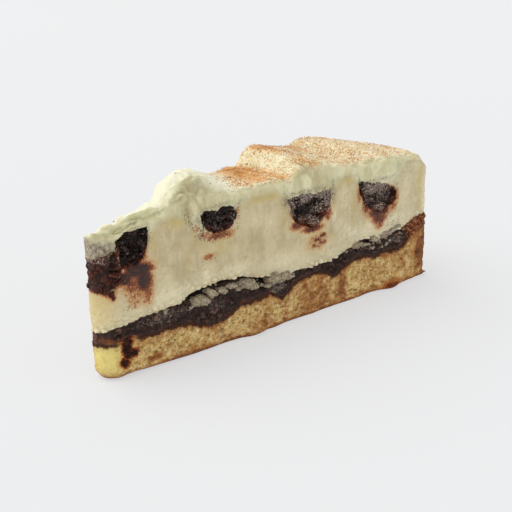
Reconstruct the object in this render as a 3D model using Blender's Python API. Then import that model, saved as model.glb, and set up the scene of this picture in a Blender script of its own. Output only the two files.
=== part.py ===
"""A cut slice of cinnamon bun cheesecake.

The slice lies on its sponge, with +X from its nose to its outer rim, +Z up, and the origin
under the middle of its box.  Its layers run through it from one cut face to the other:
sponge, a dark cinnamon filling, the cheesecake, rings of cinnamon crumb in grooves of the
cheesecake, and the frosting, whose ridges are the turns of the bun's swirl.

Every surface is a function of two plan coordinates:
  ring    distance from the nose, measured along the near cut face and following the swirl
  across  -1 on the near (-Y) cut face, +1 on the far one
"""
import math

import bmesh
import bpy
import numpy as np
from mathutils import Matrix

# Driving dimensions, in metres
MM = 0.001
CUT_LENGTH = 120.0 * MM
WEDGE_ANGLE = math.radians(17.0)
NOSE_WIDTH = 7.5 * MM
NOSE_BULGE = 1.8 * MM
NOSE_SLANT = 1.8 * MM
NOSE_FADE = 9.0 * MM
GAP = 0.3 * MM

# How far a ring has drifted outwards by the far cut face, at even steps from nose to rim
RING_DRIFT = tuple(d * MM for d in (0.0, 4.7, 9.0, 9.5, 0.4, 2.2, 4.1, 3.5, 0.0))

# Height of the frosting without its ridges, at even steps from nose to rim
TOP_NEAR = tuple(z * MM for z in (42.4, 44.9, 46.0, 46.2, 46.1, 46.0, 45.9, 45.6, 45.0, 43.9))
TOP_FAR = tuple(z * MM for z in (40.5, 43.2, 46.3, 46.0, 46.1, 46.8, 46.8, 46.5, 45.5, 42.8))
RIM_ROUNDING = 4.5 * MM
RIM_CROWN = 1.2 * MM
CROWN_RING = 88.0 * MM
CROWN_FADE = 22.0 * MM
FROSTING_INNER = 3.4 * MM
FROSTING_RIM = 1.7 * MM

# Heights of the two boundaries of the dark filling on the near face, at even steps
SPONGE_TOP = tuple(z * MM for z in (11.7, 11.4, 11.0, 9.3, 11.0, 12.0, 12.4,
                                    13.6, 13.2, 14.4, 13.4, 14.0, 19.0))
FILLING_TOP = tuple(z * MM for z in (15.2, 16.6, 17.6, 20.2, 20.0, 18.0, 16.5,
                                     16.2, 16.6, 19.8, 18.9, 20.6, 23.4))
SPONGE_DIPS = ((34.0, 4.0, 1.8), (58.0, 3.2, 2.8), (79.0, 3.0, 2.0))
FAR_FACE_WAVE = 1.5 * MM
FAR_NOSE_DROP = 1.4 * MM
FAR_NOSE_REACH = 16.0 * MM
LEAST_FILLING = 2.6 * MM

# Ridges of the frosting: crest, inner and outer half-width, height near and far, in mm
RIDGES = {
    "tip": (8.2, 3.7, 3.5, 0.7, 0.8),
    "inner_step": (19.9, 2.0, 6.5, 0.8, 2.9),
    "inner_turn": (26.3, 8.5, 15.7, 4.8, 4.3),
    "middle_turn": (69.0, 7.0, 18.9, 3.5, 3.7),
    "outer_turn": (97.2, 8.3, 14.2, 0.7, 1.1),
}
NEAR_SLUMP = 0.42
SLUMP_REACH = 0.7
CREASE_RING = 61.5 * MM
CREASE_WIDTH = 2.6 * MM
CREASE_DEPTH = 1.0 * MM

# Grooves of the cheesecake: deepest ring, half-widths, depth and the crumb's reach, in mm.
# The crumb's level is its depth below the shoulder, at its inner and its outer edge.
GROOVES = {
    "cinnamon_swirl_1": {"ring": 1.0, "inner": 12.0, "outer": 12.0, "depth": 12.0,
                         "crumb": (0.0, 12.0), "level": (0.3, 0.2)},
    "cinnamon_swirl_2": {"ring": 34.0, "inner": 10.0, "outer": 8.5, "depth": 9.0,
                         "crumb": (30.0, 42.0), "level": (1.0, 1.4)},
    "cinnamon_swirl_3": {"ring": 69.0, "inner": 10.0, "outer": 9.0, "depth": 13.2,
                         "crumb": (60.0, 78.0), "level": (3.2, 3.0)},
    "cinnamon_swirl_4": {"ring": 98.5, "inner": 9.5, "outer": 9.0, "depth": 15.8,
                         "crumb": (90.0, 108.0), "level": (3.0, 6.0)},
}
NOSE_POCKET_DROP = 1.2 * MM
NOSE_CRUMB_DROP = 3.3 * MM
NOSE_POCKET_REACH = 3.5 * MM
CRUMB_EDGE = 0.6 * MM

# The sides: rounding of the lower edge, the browned bulge of the sponge, a blob and a flake
FOOT_ROUNDING = 1.1 * MM
FOOT_HEIGHT = 1.3 * MM
NOSE_FOOT_ROUNDING = 2.2 * MM
NOSE_FOOT_HEIGHT = 1.2 * MM
NOSE_FOOT_FADE = 34.0 * MM
SPONGE_BULGE = 1.2 * MM
BULGE_HEIGHT = 14.0 * MM
BULGE_SPREAD = 6.5 * MM
BLOBS = ({"ring": 104.5 * MM, "length": 4.5 * MM, "out": 2.4 * MM},
         {"ring": 48.0 * MM, "length": 5.0 * MM, "out": 2.2 * MM})
BLOB_HEIGHT = 1.4 * MM
BLOB_SPREAD = 2.2 * MM
FLAKE = {"across": -0.86, "width": 0.16, "height": 1.4 * MM, "spread": 1.0 * MM, "out": 2.6 * MM}
CRAG_SPONGE = 0.55 * MM
CRAG_CREAM = 0.22 * MM
CRAG_SIZE = 5.0 * MM
TOP_LUMPS = 0.35 * MM
TOP_LUMP_SIZE = 7.0 * MM

# Colour and roughness of each food
SPONGE_LOOK = ((0.40, 0.25, 0.09), 0.85)
CRUMB_LOOK = ((0.03, 0.012, 0.008), 0.5)
CREAM_LOOK = ((0.62, 0.52, 0.33), 0.5)
FROSTING_LOOK = ((0.75, 0.68, 0.48), 0.45)

# Grid of the surfaces
RINGS = 61
ACROSS = 7
RING_STEP = CUT_LENGTH / (RINGS - 1)

HALF_ANGLE = WEDGE_ANGLE / 2
NOSE_RADIUS = NOSE_WIDTH / 2 / math.sin(HALF_ANGLE)


def eased(values, share):
    """A smooth curve through evenly spaced heights, read at shares 0..1 of its length."""
    values = np.asarray(values)
    place = np.clip(share, 0, 1) * (len(values) - 1)
    index = np.minimum(place.astype(int), len(values) - 2)
    part = place - index
    before = values[np.maximum(index - 1, 0)]
    start = values[index]
    end = values[index + 1]
    after = values[np.minimum(index + 2, len(values) - 1)]
    slope_in = (end - before) / 2
    slope_out = (after - start) / 2
    square = part * part
    cube = square * part
    return ((2 * cube - 3 * square + 1) * start + (cube - 2 * square + part) * slope_in
            + (3 * square - 2 * cube) * end + (cube - square) * slope_out)


def smooth_step(share):
    share = np.clip(share, 0, 1)
    return share * share * (3 - 2 * share)


def lumps(first, second, size, seed):
    """Seeded smooth noise between -1 and 1 in two coordinates, with bumps of the given size."""
    lattice = np.random.default_rng(seed).uniform(-1, 1, (64, 64))
    u = first / size + 20
    v = second / size + 20
    i = np.floor(u).astype(int)
    j = np.floor(v).astype(int)
    a = smooth_step(u - i)
    b = smooth_step(v - j)
    low = lattice[i % 64, j % 64] * (1 - a) + lattice[(i + 1) % 64, j % 64] * a
    high = lattice[i % 64, (j + 1) % 64] * (1 - a) + lattice[(i + 1) % 64, (j + 1) % 64] * a
    return low * (1 - b) + high * b


def far_share(across):
    return (across + 1) / 2


def along_face(ring, across):
    """Distance from the nose on the slice itself, once the ring has drifted."""
    return ring + eased(RING_DRIFT, ring / CUT_LENGTH) * far_share(across)


def hump(ring, crest, inner, outer):
    """A ridge that rises over its inner half-width and falls over its outer one."""
    inside = smooth_step(1 - (crest - ring) / inner)
    outside = smooth_step(1 - (ring - crest) / outer)
    return np.where(ring < crest, inside, outside)


def plain_top(ring, across):
    """The frosting without its ridges, rounded over at the rim."""
    share = ring / CUT_LENGTH
    near = eased(TOP_NEAR, share)
    far = eased(TOP_FAR, share)
    over = np.clip((ring - CUT_LENGTH + RIM_ROUNDING) / RIM_ROUNDING, 0, 1)
    drop = RIM_ROUNDING * (1 - np.sqrt(1 - 0.96 * over ** 2))
    return near + (far - near) * far_share(across) - drop


def frosting_top(ring, across):
    height = plain_top(ring, across)
    slump = NEAR_SLUMP * smooth_step((SLUMP_REACH - 1 - across) / SLUMP_REACH)
    for crest, inner, outer, near, far in RIDGES.values():
        rise = (near + (far - near) * far_share(across)) * (1 - slump)
        height = height + rise * MM * hump(ring, crest * MM, inner * MM, outer * MM)
    crease = np.exp(-((ring - CREASE_RING) / CREASE_WIDTH) ** 2)
    height = height - CREASE_DEPTH * crease
    height = height + RIM_CROWN * (1 - across ** 2) * smooth_step((ring - CROWN_RING) / CROWN_FADE)
    place = along_face(ring, across)
    sideways = across * HALF_ANGLE * (NOSE_RADIUS + place)
    return height + TOP_LUMPS * lumps(place, sideways, TOP_LUMP_SIZE, seed=11)


def shoulder(ring, across):
    """Top of the cheesecake between its grooves."""
    towards_rim = smooth_step((ring / CUT_LENGTH - 0.8) / 0.18)
    thickness = FROSTING_INNER + (FROSTING_RIM - FROSTING_INNER) * towards_rim
    return plain_top(ring, across) - thickness


def groove_depth(ring, groove):
    offset = ring - groove["ring"] * MM
    side = np.where(offset < 0, groove["inner"], groove["outer"]) * MM
    share = np.clip(np.abs(offset) / side, 0, 1)
    return groove["depth"] * MM * (1 - share ** 2.4)


def cream_top(ring, across):
    depth = sum(groove_depth(ring, groove) for groove in GROOVES.values())
    depth = depth + NOSE_POCKET_DROP * smooth_step(1 - ring / NOSE_POCKET_REACH)
    return shoulder(ring, across) - depth


def crumb_top(ring, across, groove):
    """Top of the crumb in one groove, which ends in thin edges at its inner and outer ring."""
    first, last = (edge * MM for edge in groove["crumb"])
    inner_level, outer_level = (level * MM for level in groove["level"])
    share = np.clip((ring - first) / (last - first), 0, 1)
    level = shoulder(ring, across) - inner_level - (outer_level - inner_level) * share
    level = level - NOSE_CRUMB_DROP * smooth_step(1 - ring / NOSE_POCKET_REACH)
    least = cream_top(ring, across) + GAP + CRUMB_EDGE
    return np.maximum(level, least)


def in_crumb(ring, groove):
    first, last = (edge * MM for edge in groove["crumb"])
    return (ring > first - RING_STEP / 4) & (ring < last + RING_STEP / 4)


def frosting_bottom(ring, across):
    height = cream_top(ring, across)
    for groove in GROOVES.values():
        filled = crumb_top(ring, across, groove)
        height = np.where(in_crumb(ring, groove), filled, height)
    return height + GAP


def far_wave(ring, across, seed):
    """How a boundary of the filling differs towards the far face: lower at the nose, then wavy."""
    past_nose = smooth_step(ring / FAR_NOSE_REACH)
    wave = FAR_FACE_WAVE * past_nose * lumps(ring, across * CRAG_SIZE, 14 * MM, seed=seed)
    return far_share(across) * (wave - FAR_NOSE_DROP * (1 - past_nose))


def sponge_top(ring, across):
    share = ring / CUT_LENGTH
    height = eased(SPONGE_TOP, share)
    for middle, width, depth in SPONGE_DIPS:
        height = height - depth * MM * np.exp(-((ring / MM - middle) / width) ** 2)
    return height + far_wave(ring, across, seed=5)


def filling_top(ring, across):
    height = eased(FILLING_TOP, ring / CUT_LENGTH)
    return np.maximum(height + far_wave(ring, across, seed=6), sponge_top(ring, across) + LEAST_FILLING)


def side_relief(ring, across, height):
    """How far the sides stand out from the plain wedge, the same for every layer."""
    low = smooth_step(1 - (height - sponge_top(ring, across)) / (6 * MM))
    crag = CRAG_CREAM + (CRAG_SPONGE - CRAG_CREAM) * low
    around = ring + (across + 1) * CUT_LENGTH
    out = crag * lumps(around, height, CRAG_SIZE, seed=21)
    for blob in BLOBS:
        along = (ring - blob["ring"]) / blob["length"]
        upwards = (height - BLOB_HEIGHT) / BLOB_SPREAD
        out = out + blob["out"] * np.exp(-along ** 2 - upwards ** 2) * (across < 0)
    return out


def rim_relief(across, height):
    bulge = SPONGE_BULGE * np.exp(-((height - BULGE_HEIGHT) / BULGE_SPREAD) ** 2)
    sideways = (across - FLAKE["across"]) / FLAKE["width"]
    upwards = (height - FLAKE["height"]) / FLAKE["spread"]
    flake = np.exp(-sideways ** 2 - upwards ** 2)
    crag = CRAG_SPONGE * lumps(across * 20 * MM, height, CRAG_SIZE, seed=22)
    return bulge + crag + FLAKE["out"] * flake


def place(ring, across, height, side=None):
    """World position of a point, pushed out from the named side: near, far, rim or nose."""
    along = along_face(ring, across)
    angle = across * HALF_ANGLE
    radius = NOSE_RADIUS + along
    if side == "rim":
        radius = radius + rim_relief(across, height)
    x = radius * np.cos(angle)
    y = radius * np.sin(angle)
    blunt = NOSE_BULGE * (1 - across ** 2) + NOSE_SLANT * far_share(across)
    x = x - blunt * smooth_step(1 - along / NOSE_FADE)
    if side in ("near", "far"):
        out = side_relief(ring, across, height)
        sign = -1 if side == "near" else 1
        x = x - out * math.sin(HALF_ANGLE)
        y = y + out * sign * math.cos(HALF_ANGLE)
    if side == "nose":
        x = x - CRAG_CREAM * lumps(across * 4 * MM, height, CRAG_SIZE, seed=23)
    return float(x), float(y), float(height)


def rim_walk(rows, columns):
    """The grid's border as (row, column, side), anticlockwise from above, starting at the nose."""
    walk = [(row, 0, "near") for row in range(rows - 1)]
    walk += [(rows - 1, column, "rim") for column in range(columns - 1)]
    walk += [(row, columns - 1, "far") for row in range(rows - 1, 0, -1)]
    walk += [(0, column, "nose") for column in range(columns - 1, 0, -1)]
    return walk


def above(surface):
    """The same surface, raised by the gap between touching layers."""
    return lambda ring, across: surface(ring, across) + GAP


def crumb_surface(groove):
    return lambda ring, across: crumb_top(ring, across, groove)


def layer(name, rings, bottom, top, levels, look):
    """One closed layer over the given rings, from one surface up to another.

    Without a bottom surface it stands on a flat face with a rounded edge.
    """
    spread = np.linspace(-1, 1, ACROSS)
    walk = rim_walk(len(rings), ACROSS)
    sides = {(row, column): wall_side(rings[row], column, side) for row, column, side in walk}
    mesh = bmesh.new()

    def point(row, column, height):
        ring, across = np.float64(rings[row]), np.float64(spread[column])
        return mesh.verts.new(place(ring, across, height, sides.get((row, column))))

    def sheet(surface, upwards):
        points = {(row, column): point(row, column, surface(np.float64(rings[row]), spread[column]))
                  for row in range(len(rings)) for column in range(ACROSS)}
        for row in range(len(rings) - 1):
            for column in range(ACROSS - 1):
                a = points[row, column]
                b = points[row + 1, column]
                c = points[row + 1, column + 1]
                d = points[row, column + 1]
                for corners in ((a, b, c), (a, c, d)):
                    mesh.faces.new(corners if upwards else corners[::-1])
        return [points[row, column] for row, column, _ in walk]

    def belt(level):
        points = []
        for row, column, _ in walk:
            ring, across = np.float64(rings[row]), spread[column]
            start = bottom(ring, across) if bottom else foot(ring)[1]
            points.append(point(row, column, start + (top(ring, across) - start) * level / levels))
        return points

    if bottom:
        belts = [sheet(bottom, upwards=False)]
    else:
        edge = [foot_point(rings[row], spread[column], sides[row, column]) for row, column, _ in walk]
        belts = [[mesh.verts.new(corner) for corner in edge], belt(0)]
        mesh.faces.new(belts[0][::-1])
    belts += [belt(level) for level in range(1, levels)]
    belts.append(sheet(top, upwards=True))
    for below, over in zip(belts, belts[1:]):
        for this in range(len(walk)):
            following = (this + 1) % len(walk)
            mesh.faces.new((below[this], below[following], over[following]))
            mesh.faces.new((below[this], over[following], over[this]))
    finish(name, mesh, look)


def wall_side(ring, column, side):
    """A layer that stops short of the nose or the rim has its end walls inside the slice."""
    at_end = ring < RING_STEP / 2 or ring > CUT_LENGTH - RING_STEP / 2
    if side in ("rim", "nose") and not at_end:
        return {0: "near", ACROSS - 1: "far"}.get(column)
    return side


def foot(ring):
    """Depth and height of the rounded lower edge, which is worn rounder towards the nose."""
    share = smooth_step(1 - ring / NOSE_FOOT_FADE)
    return FOOT_ROUNDING + NOSE_FOOT_ROUNDING * share, FOOT_HEIGHT + NOSE_FOOT_HEIGHT * share


def foot_point(ring, across, side):
    """The edge of the flat face that the slice rests on, drawn in by the rounding."""
    rounding, height = foot(ring)
    x, y, _ = place(np.float64(ring), np.float64(across), np.float64(height), side)
    at_nose = smooth_step(1 - ring / NOSE_FADE)
    at_rim = smooth_step(1 - (CUT_LENGTH - ring) / RING_STEP)
    x = x + rounding * at_nose - FOOT_ROUNDING * at_rim
    return x, y - min(rounding, 0.6 * abs(y)) * across, 0.0


def finish(name, mesh, look):
    data = bpy.data.meshes.new(name)
    mesh.to_mesh(data)
    mesh.free()
    data.materials.append(material(name, *look))
    bpy.context.scene.collection.objects.link(bpy.data.objects.new(name, data))


def material(name, colour, roughness):
    made = bpy.data.materials.new(name)
    made.use_nodes = True
    shader = made.node_tree.nodes["Principled BSDF"]
    shader.inputs["Base Color"].default_value = (*colour, 1.0)
    shader.inputs["Roughness"].default_value = roughness
    return made


def build():
    for old in list(bpy.data.objects):
        bpy.data.objects.remove(old)
    rings = [row * RING_STEP for row in range(RINGS)]
    layer("sponge_base", rings, None, sponge_top, 4, SPONGE_LOOK)
    layer("cinnamon_layer", rings, above(sponge_top), filling_top, 2, CRUMB_LOOK)
    layer("cheesecake", rings, above(filling_top), cream_top, 5, CREAM_LOOK)
    for name, groove in GROOVES.items():
        inside = [ring for ring in rings if in_crumb(ring, groove)]
        layer(name, inside, above(cream_top), crumb_surface(groove), 2, CRUMB_LOOK)
    layer("frosting", rings, frosting_bottom, frosting_top, 2, FROSTING_LOOK)
    centre_on_origin()


def centre_on_origin():
    """Brings the middle of the slice's box, in plan, onto the origin."""
    layers = [made.data for made in bpy.data.objects]
    points = np.array([tuple(vertex.co) for data in layers for vertex in data.vertices])
    middle = (points.min(axis=0) + points.max(axis=0)) / 2
    for data in layers:
        data.transform(Matrix.Translation((-middle[0], -middle[1], 0)))


build()
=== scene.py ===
"""Looks of the slice of cinnamon bun cheesecake.

Each layer of the slice is a closed skin in fine mesh that keeps the form of its solid: the same
surfaces over ring (from the nose outwards) and across (-1 near face, +1 far face), with crumb,
pores, smears and lumps as relief.  Masks held at the points say where the food is stained,
browned or dusted, and where shade, glints and the glow of the thin nose are painted in; the node
materials turn them into colour.

Lengths are in millimetres until a mesh is made, and in metres after that.
"""
import math

import bmesh
import bpy
import numpy as np
from mathutils import Matrix, Vector


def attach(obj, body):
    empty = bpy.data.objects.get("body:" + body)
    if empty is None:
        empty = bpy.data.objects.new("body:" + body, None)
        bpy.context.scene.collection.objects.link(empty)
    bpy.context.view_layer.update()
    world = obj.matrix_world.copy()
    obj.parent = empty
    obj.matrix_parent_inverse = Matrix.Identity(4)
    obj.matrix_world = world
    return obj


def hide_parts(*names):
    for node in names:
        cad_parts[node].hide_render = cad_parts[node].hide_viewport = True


MM = 0.001

# The slice, as in its solids
CUT_LENGTH = 120.0
HALF_ANGLE = math.radians(17.0) / 2
NOSE_WIDTH = 7.5
NOSE_BULGE = 1.8
NOSE_SLANT = 1.8
NOSE_FADE = 9.0
NOSE_RADIUS = NOSE_WIDTH / 2 / math.sin(HALF_ANGLE)
APEX_X = -85.0
GAP = 0.3
RING_DRIFT = (0.0, 4.7, 9.0, 9.5, 0.4, 2.2, 4.1, 3.5, 0.0)
TOP_NEAR = (42.4, 44.9, 46.0, 46.2, 46.1, 46.0, 45.9, 45.6, 45.0, 43.9)
TOP_FAR = (40.5, 43.2, 46.3, 46.0, 46.1, 46.8, 46.8, 46.5, 45.5, 42.8)
RIM_ROUNDING = 4.5
RIM_CROWN = 1.2
CROWN_RING = 88.0
CROWN_FADE = 22.0
FROSTING_INNER = 3.4
FROSTING_RIM = 1.7
SPONGE_TOP = (11.7, 11.4, 11.0, 9.3, 11.0, 12.0, 12.4, 13.6, 13.2, 14.4, 13.4, 14.0, 19.0)
FILLING_TOP = (15.2, 16.6, 17.6, 20.2, 20.0, 18.0, 16.5, 16.2, 16.6, 19.8, 18.9, 20.6, 23.4)
SPONGE_DIPS = ((34.0, 4.0, 1.8), (58.0, 3.2, 2.8), (79.0, 3.0, 2.0))
FAR_FACE_WAVE = 1.5
FAR_NOSE_DROP = 1.4
FAR_NOSE_REACH = 16.0
LEAST_FILLING = 2.6
RIDGES = {
    "tip": (8.2, 3.7, 3.5, 0.7, 0.8),
    "inner_step": (19.9, 2.0, 6.5, 0.8, 2.9),
    "inner_turn": (26.3, 8.5, 15.7, 4.8, 4.3),
    "middle_turn": (69.0, 7.0, 18.9, 3.5, 3.7),
    "outer_turn": (97.2, 8.3, 14.2, 0.7, 1.1),
}
NEAR_SLUMP = 0.42
SLUMP_REACH = 0.7
CREASE_RING = 61.5
CREASE_WIDTH = 2.6
CREASE_DEPTH = 1.0
GROOVES = {
    "cinnamon_swirl_1": {"ring": 1.0, "inner": 12.0, "outer": 12.0, "depth": 12.0,
                         "crumb": (0.0, 12.0), "level": (0.3, 0.2)},
    "cinnamon_swirl_2": {"ring": 34.0, "inner": 10.0, "outer": 8.5, "depth": 9.0,
                         "crumb": (30.0, 42.0), "level": (1.0, 1.4)},
    "cinnamon_swirl_3": {"ring": 69.0, "inner": 10.0, "outer": 9.0, "depth": 13.2,
                         "crumb": (60.0, 78.0), "level": (3.2, 3.0)},
    "cinnamon_swirl_4": {"ring": 98.5, "inner": 9.5, "outer": 9.0, "depth": 15.8,
                         "crumb": (90.0, 108.0), "level": (3.0, 6.0)},
}
NOSE_POCKET_DROP = 1.2
NOSE_CRUMB_DROP = 3.3
NOSE_POCKET_REACH = 3.5
CRUMB_EDGE = 0.6
CRUMB_WAVE = 0.7
FOOT_ROUNDING = 1.1
FOOT_HEIGHT = 1.3
NOSE_FOOT_ROUNDING = 2.2
NOSE_FOOT_HEIGHT = 1.2
NOSE_FOOT_FADE = 34.0
SPONGE_BULGE = 1.2
BULGE_HEIGHT = 14.0
BULGE_SPREAD = 6.5
BLOBS = ({"ring": 104.5, "length": 4.5, "out": 2.4}, {"ring": 48.0, "length": 5.0, "out": 2.2})
BLOB_HEIGHT = 1.4
BLOB_SPREAD = 2.2
FLAKE = {"across": -0.86, "width": 0.16, "height": 1.4, "spread": 1.0, "out": 2.6}
CRAG_SPONGE = 0.55
CRAG_CREAM = 0.22
CRAG_SIZE = 5.0
CRAG_FADE = 6
TOP_LUMPS = 0.35
TOP_LUMP_SIZE = 7.0

# Torn edges of the layers, each with its height and the length of its bumps
SPONGE_EDGE = (0.9, 4.2)
FILLING_EDGE = (0.55, 3.0)
CREAM_EDGE = (0.3, 3.0)
LEAST_TORN_FILLING = 1.0
CRUMB_FADE = 0.8
THIN_CRUMB = 0.9
THICK_CRUMB = 1.5

# How far the upper layers reach into what is under them
SWIRL_UNDERLAP = 0.15
SWIRL_OVERLAP = 0.2
FROSTING_UNDERLAP = 0.25
STEEP_UNDERLAP = 0.6
STEEP_DEPTH = 3.0

# Fineness of the skins
RING_STEP = 0.35
WALL_STEP = 0.35
TOP_COLUMNS = 76
HIDDEN_COLUMNS = 9
COLUMN_CROWDING = 0.93
SWIRL_STEP = 0.26
SWIRL_COLUMNS = 48
SHARP_ANGLE = math.radians(70)


def smooth_step(share):
    share = np.clip(share, 0, 1)
    return share * share * (3 - 2 * share)


def between(low, high, value):
    """0 below the low limit, 1 above the high one, and a smooth rise between."""
    return smooth_step((value - low) / (high - low))


def eased(values, share):
    """A smooth curve through evenly spaced heights, read at shares 0..1 of its length."""
    values = np.asarray(values)
    place = np.clip(share, 0, 1) * (len(values) - 1)
    index = np.minimum(place.astype(int), len(values) - 2)
    part = place - index
    before = values[np.maximum(index - 1, 0)]
    start = values[index]
    end = values[index + 1]
    after = values[np.minimum(index + 2, len(values) - 1)]
    slope_in = (end - before) / 2
    slope_out = (after - start) / 2
    square = part * part
    cube = square * part
    return ((2 * cube - 3 * square + 1) * start + (cube - 2 * square + part) * slope_in
            + (3 * square - 2 * cube) * end + (cube - square) * slope_out)


# Noise


def scramble(i, j, k, seed):
    """Seeded numbers 0..1 at whole-number points of space."""
    i, j, k = (np.asarray(part).astype(np.int64).astype(np.uint32) for part in (i, j, k))
    mixed = i * np.uint32(374761393) + j * np.uint32(668265263) + k * np.uint32(2246822519)
    mixed = mixed + np.uint32((seed * 3266489917) % 2 ** 32)
    mixed = (mixed ^ (mixed >> np.uint32(15))) * np.uint32(2246822519)
    mixed = (mixed ^ (mixed >> np.uint32(13))) * np.uint32(3266489917)
    return (mixed ^ (mixed >> np.uint32(16))) / 4294967295.0


def waves(points, size, seed):
    """Smooth noise between -1 and 1 with bumps of the given size, which may differ by axis."""
    scaled = points / np.asarray(size, float)
    cell = np.floor(scaled)
    part = smooth_step(scaled - cell)
    total = np.zeros(len(points))
    for corner in np.ndindex(2, 2, 2):
        weight = np.ones(len(points))
        for axis in range(3):
            weight = weight * (part[:, axis] if corner[axis] else 1 - part[:, axis])
        total += weight * scramble(*(cell + corner).T, seed)
    return total * 2 - 1


def rough(points, size, seed, octaves=3, fade=0.5):
    total, height = np.zeros(len(points)), 1.0
    reach = 0.0
    for octave in range(octaves):
        total += height * waves(points, np.asarray(size, float) / 2 ** octave, seed + octave)
        reach += height
        height *= fade
    return total / reach


def cells(points, size, seed):
    """Distance to the nearest and second nearest of scattered centres, and the nearest's number."""
    scaled = points / np.asarray(size, float)
    home = np.floor(scaled)
    nearest = np.full(len(points), 9.0)
    second = np.full(len(points), 9.0)
    number = np.zeros(len(points))
    for step in np.ndindex(3, 3, 3):
        cell = home + np.array(step) - 1
        centre = cell + np.stack([scramble(*cell.T, seed + axis) for axis in range(3)], 1)
        away = np.linalg.norm(scaled - centre, axis=1)
        closer = away < nearest
        second = np.where(closer, nearest, np.minimum(second, away))
        number = np.where(closer, scramble(*cell.T, seed + 7), number)
        nearest = np.where(closer, away, nearest)
    return nearest, second, number


def clods(points, size, seed):
    """Rounded lumps with cracks between them, and each lump's number."""
    nearest, second, number = cells(points, size, seed)
    return between(0.0, 0.5, second - nearest), number


def warped(points, size, amount, seed):
    """The points shifted by noise, so that what is laid out by them looks less even."""
    shift = np.stack([waves(points, size, seed + axis) for axis in range(3)], 1)
    return points + amount * shift


def flat_lumps(first, second, size, seed):
    """The solids' own seeded noise in two coordinates."""
    lattice = np.random.default_rng(seed).uniform(-1, 1, (64, 64))
    u = first / size + 20
    v = second / size + 20
    i = np.floor(u).astype(int)
    j = np.floor(v).astype(int)
    a = smooth_step(u - i)
    b = smooth_step(v - j)
    low = lattice[i % 64, j % 64] * (1 - a) + lattice[(i + 1) % 64, j % 64] * a
    high = lattice[i % 64, (j + 1) % 64] * (1 - a) + lattice[(i + 1) % 64, (j + 1) % 64] * a
    return low * (1 - b) + high * b


# Surfaces of the slice


def far_share(across):
    return (across + 1) / 2


def along_face(ring, across):
    """Distance from the nose on the slice itself, once the ring has drifted."""
    return ring + eased(RING_DRIFT, ring / CUT_LENGTH) * far_share(across)


def hump(ring, crest, inner, outer):
    inside = smooth_step(1 - (crest - ring) / inner)
    outside = smooth_step(1 - (ring - crest) / outer)
    return np.where(ring < crest, inside, outside)


def plain_top(ring, across):
    """The frosting without its ridges, rounded over at the rim."""
    share = ring / CUT_LENGTH
    near = eased(TOP_NEAR, share)
    far = eased(TOP_FAR, share)
    over = np.clip((ring - CUT_LENGTH + RIM_ROUNDING) / RIM_ROUNDING, 0, 1)
    drop = RIM_ROUNDING * (1 - np.sqrt(1 - 0.96 * over ** 2))
    return near + (far - near) * far_share(across) - drop


def frosting_top(ring, across):
    height = plain_top(ring, across)
    slump = NEAR_SLUMP * smooth_step((SLUMP_REACH - 1 - across) / SLUMP_REACH)
    for crest, inner, outer, near, far in RIDGES.values():
        rise = (near + (far - near) * far_share(across)) * (1 - slump)
        height = height + rise * hump(ring, crest, inner, outer)
    crease = np.exp(-((ring - CREASE_RING) / CREASE_WIDTH) ** 2)
    height = height - CREASE_DEPTH * crease
    height = height + RIM_CROWN * (1 - across ** 2) * smooth_step((ring - CROWN_RING) / CROWN_FADE)
    place = along_face(ring, across)
    sideways = across * HALF_ANGLE * (NOSE_RADIUS + place)
    return height + TOP_LUMPS * flat_lumps(place, sideways, TOP_LUMP_SIZE, seed=11)


def shoulder(ring, across):
    """Top of the cheesecake between its grooves."""
    towards_rim = smooth_step((ring / CUT_LENGTH - 0.8) / 0.18)
    thickness = FROSTING_INNER + (FROSTING_RIM - FROSTING_INNER) * towards_rim
    return plain_top(ring, across) - thickness


def groove_depth(ring, groove):
    offset = ring - groove["ring"]
    side = np.where(offset < 0, groove["inner"], groove["outer"])
    share = np.clip(np.abs(offset) / side, 0, 1)
    return groove["depth"] * (1 - share ** 2.4)


def cream_top(ring, across):
    depth = sum(groove_depth(ring, groove) for groove in GROOVES.values())
    depth = depth + NOSE_POCKET_DROP * smooth_step(1 - ring / NOSE_POCKET_REACH)
    return shoulder(ring, across) - depth


def crumb_top(ring, across, groove):
    first, last = groove["crumb"]
    inner_level, outer_level = groove["level"]
    share = np.clip((ring - first) / (last - first), 0, 1)
    level = shoulder(ring, across) - inner_level - (outer_level - inner_level) * share
    level = level - NOSE_CRUMB_DROP * smooth_step(1 - ring / NOSE_POCKET_REACH)
    least = cream_top(ring, across) + GAP + CRUMB_EDGE
    return np.maximum(level, least)


def crumb_share(ring, across, groove):
    """1 where a groove holds crumb, falling to 0 past its edges and where it would thin out."""
    first, last = groove["crumb"]
    inside = between(-CRUMB_FADE, 0.2, ring - first) * between(-CRUMB_FADE, 0.2, last - ring)
    inside = np.where(ring + first < 1.0, 1.0, inside)
    thick = crumb_top(ring, across, groove) - cream_top(ring, across)
    return inside * between(THIN_CRUMB, THICK_CRUMB, thick)


def frosting_bottom(ring, across):
    height = cream_top(ring, across)
    for groove in GROOVES.values():
        filled = crumb_top(ring, across, groove) + CRUMB_WAVE * edge_noise(ring, across, 2.6, 58)
        height = height + (filled - height) * crumb_share(ring, across, groove)
    return height


def far_wave(ring, across, seed):
    """How a boundary of the filling differs towards the far face: lower at the nose, then wavy."""
    past_nose = smooth_step(ring / FAR_NOSE_REACH)
    wave = FAR_FACE_WAVE * past_nose * flat_lumps(ring, across * CRAG_SIZE, 14.0, seed=seed)
    return far_share(across) * (wave - FAR_NOSE_DROP * (1 - past_nose))


def sponge_top(ring, across):
    height = eased(SPONGE_TOP, ring / CUT_LENGTH)
    for middle, width, depth in SPONGE_DIPS:
        height = height - depth * np.exp(-((ring - middle) / width) ** 2)
    return height + far_wave(ring, across, seed=5)


def filling_top(ring, across):
    height = eased(FILLING_TOP, ring / CUT_LENGTH)
    return np.maximum(height + far_wave(ring, across, seed=6), sponge_top(ring, across) + LEAST_FILLING)


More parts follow.
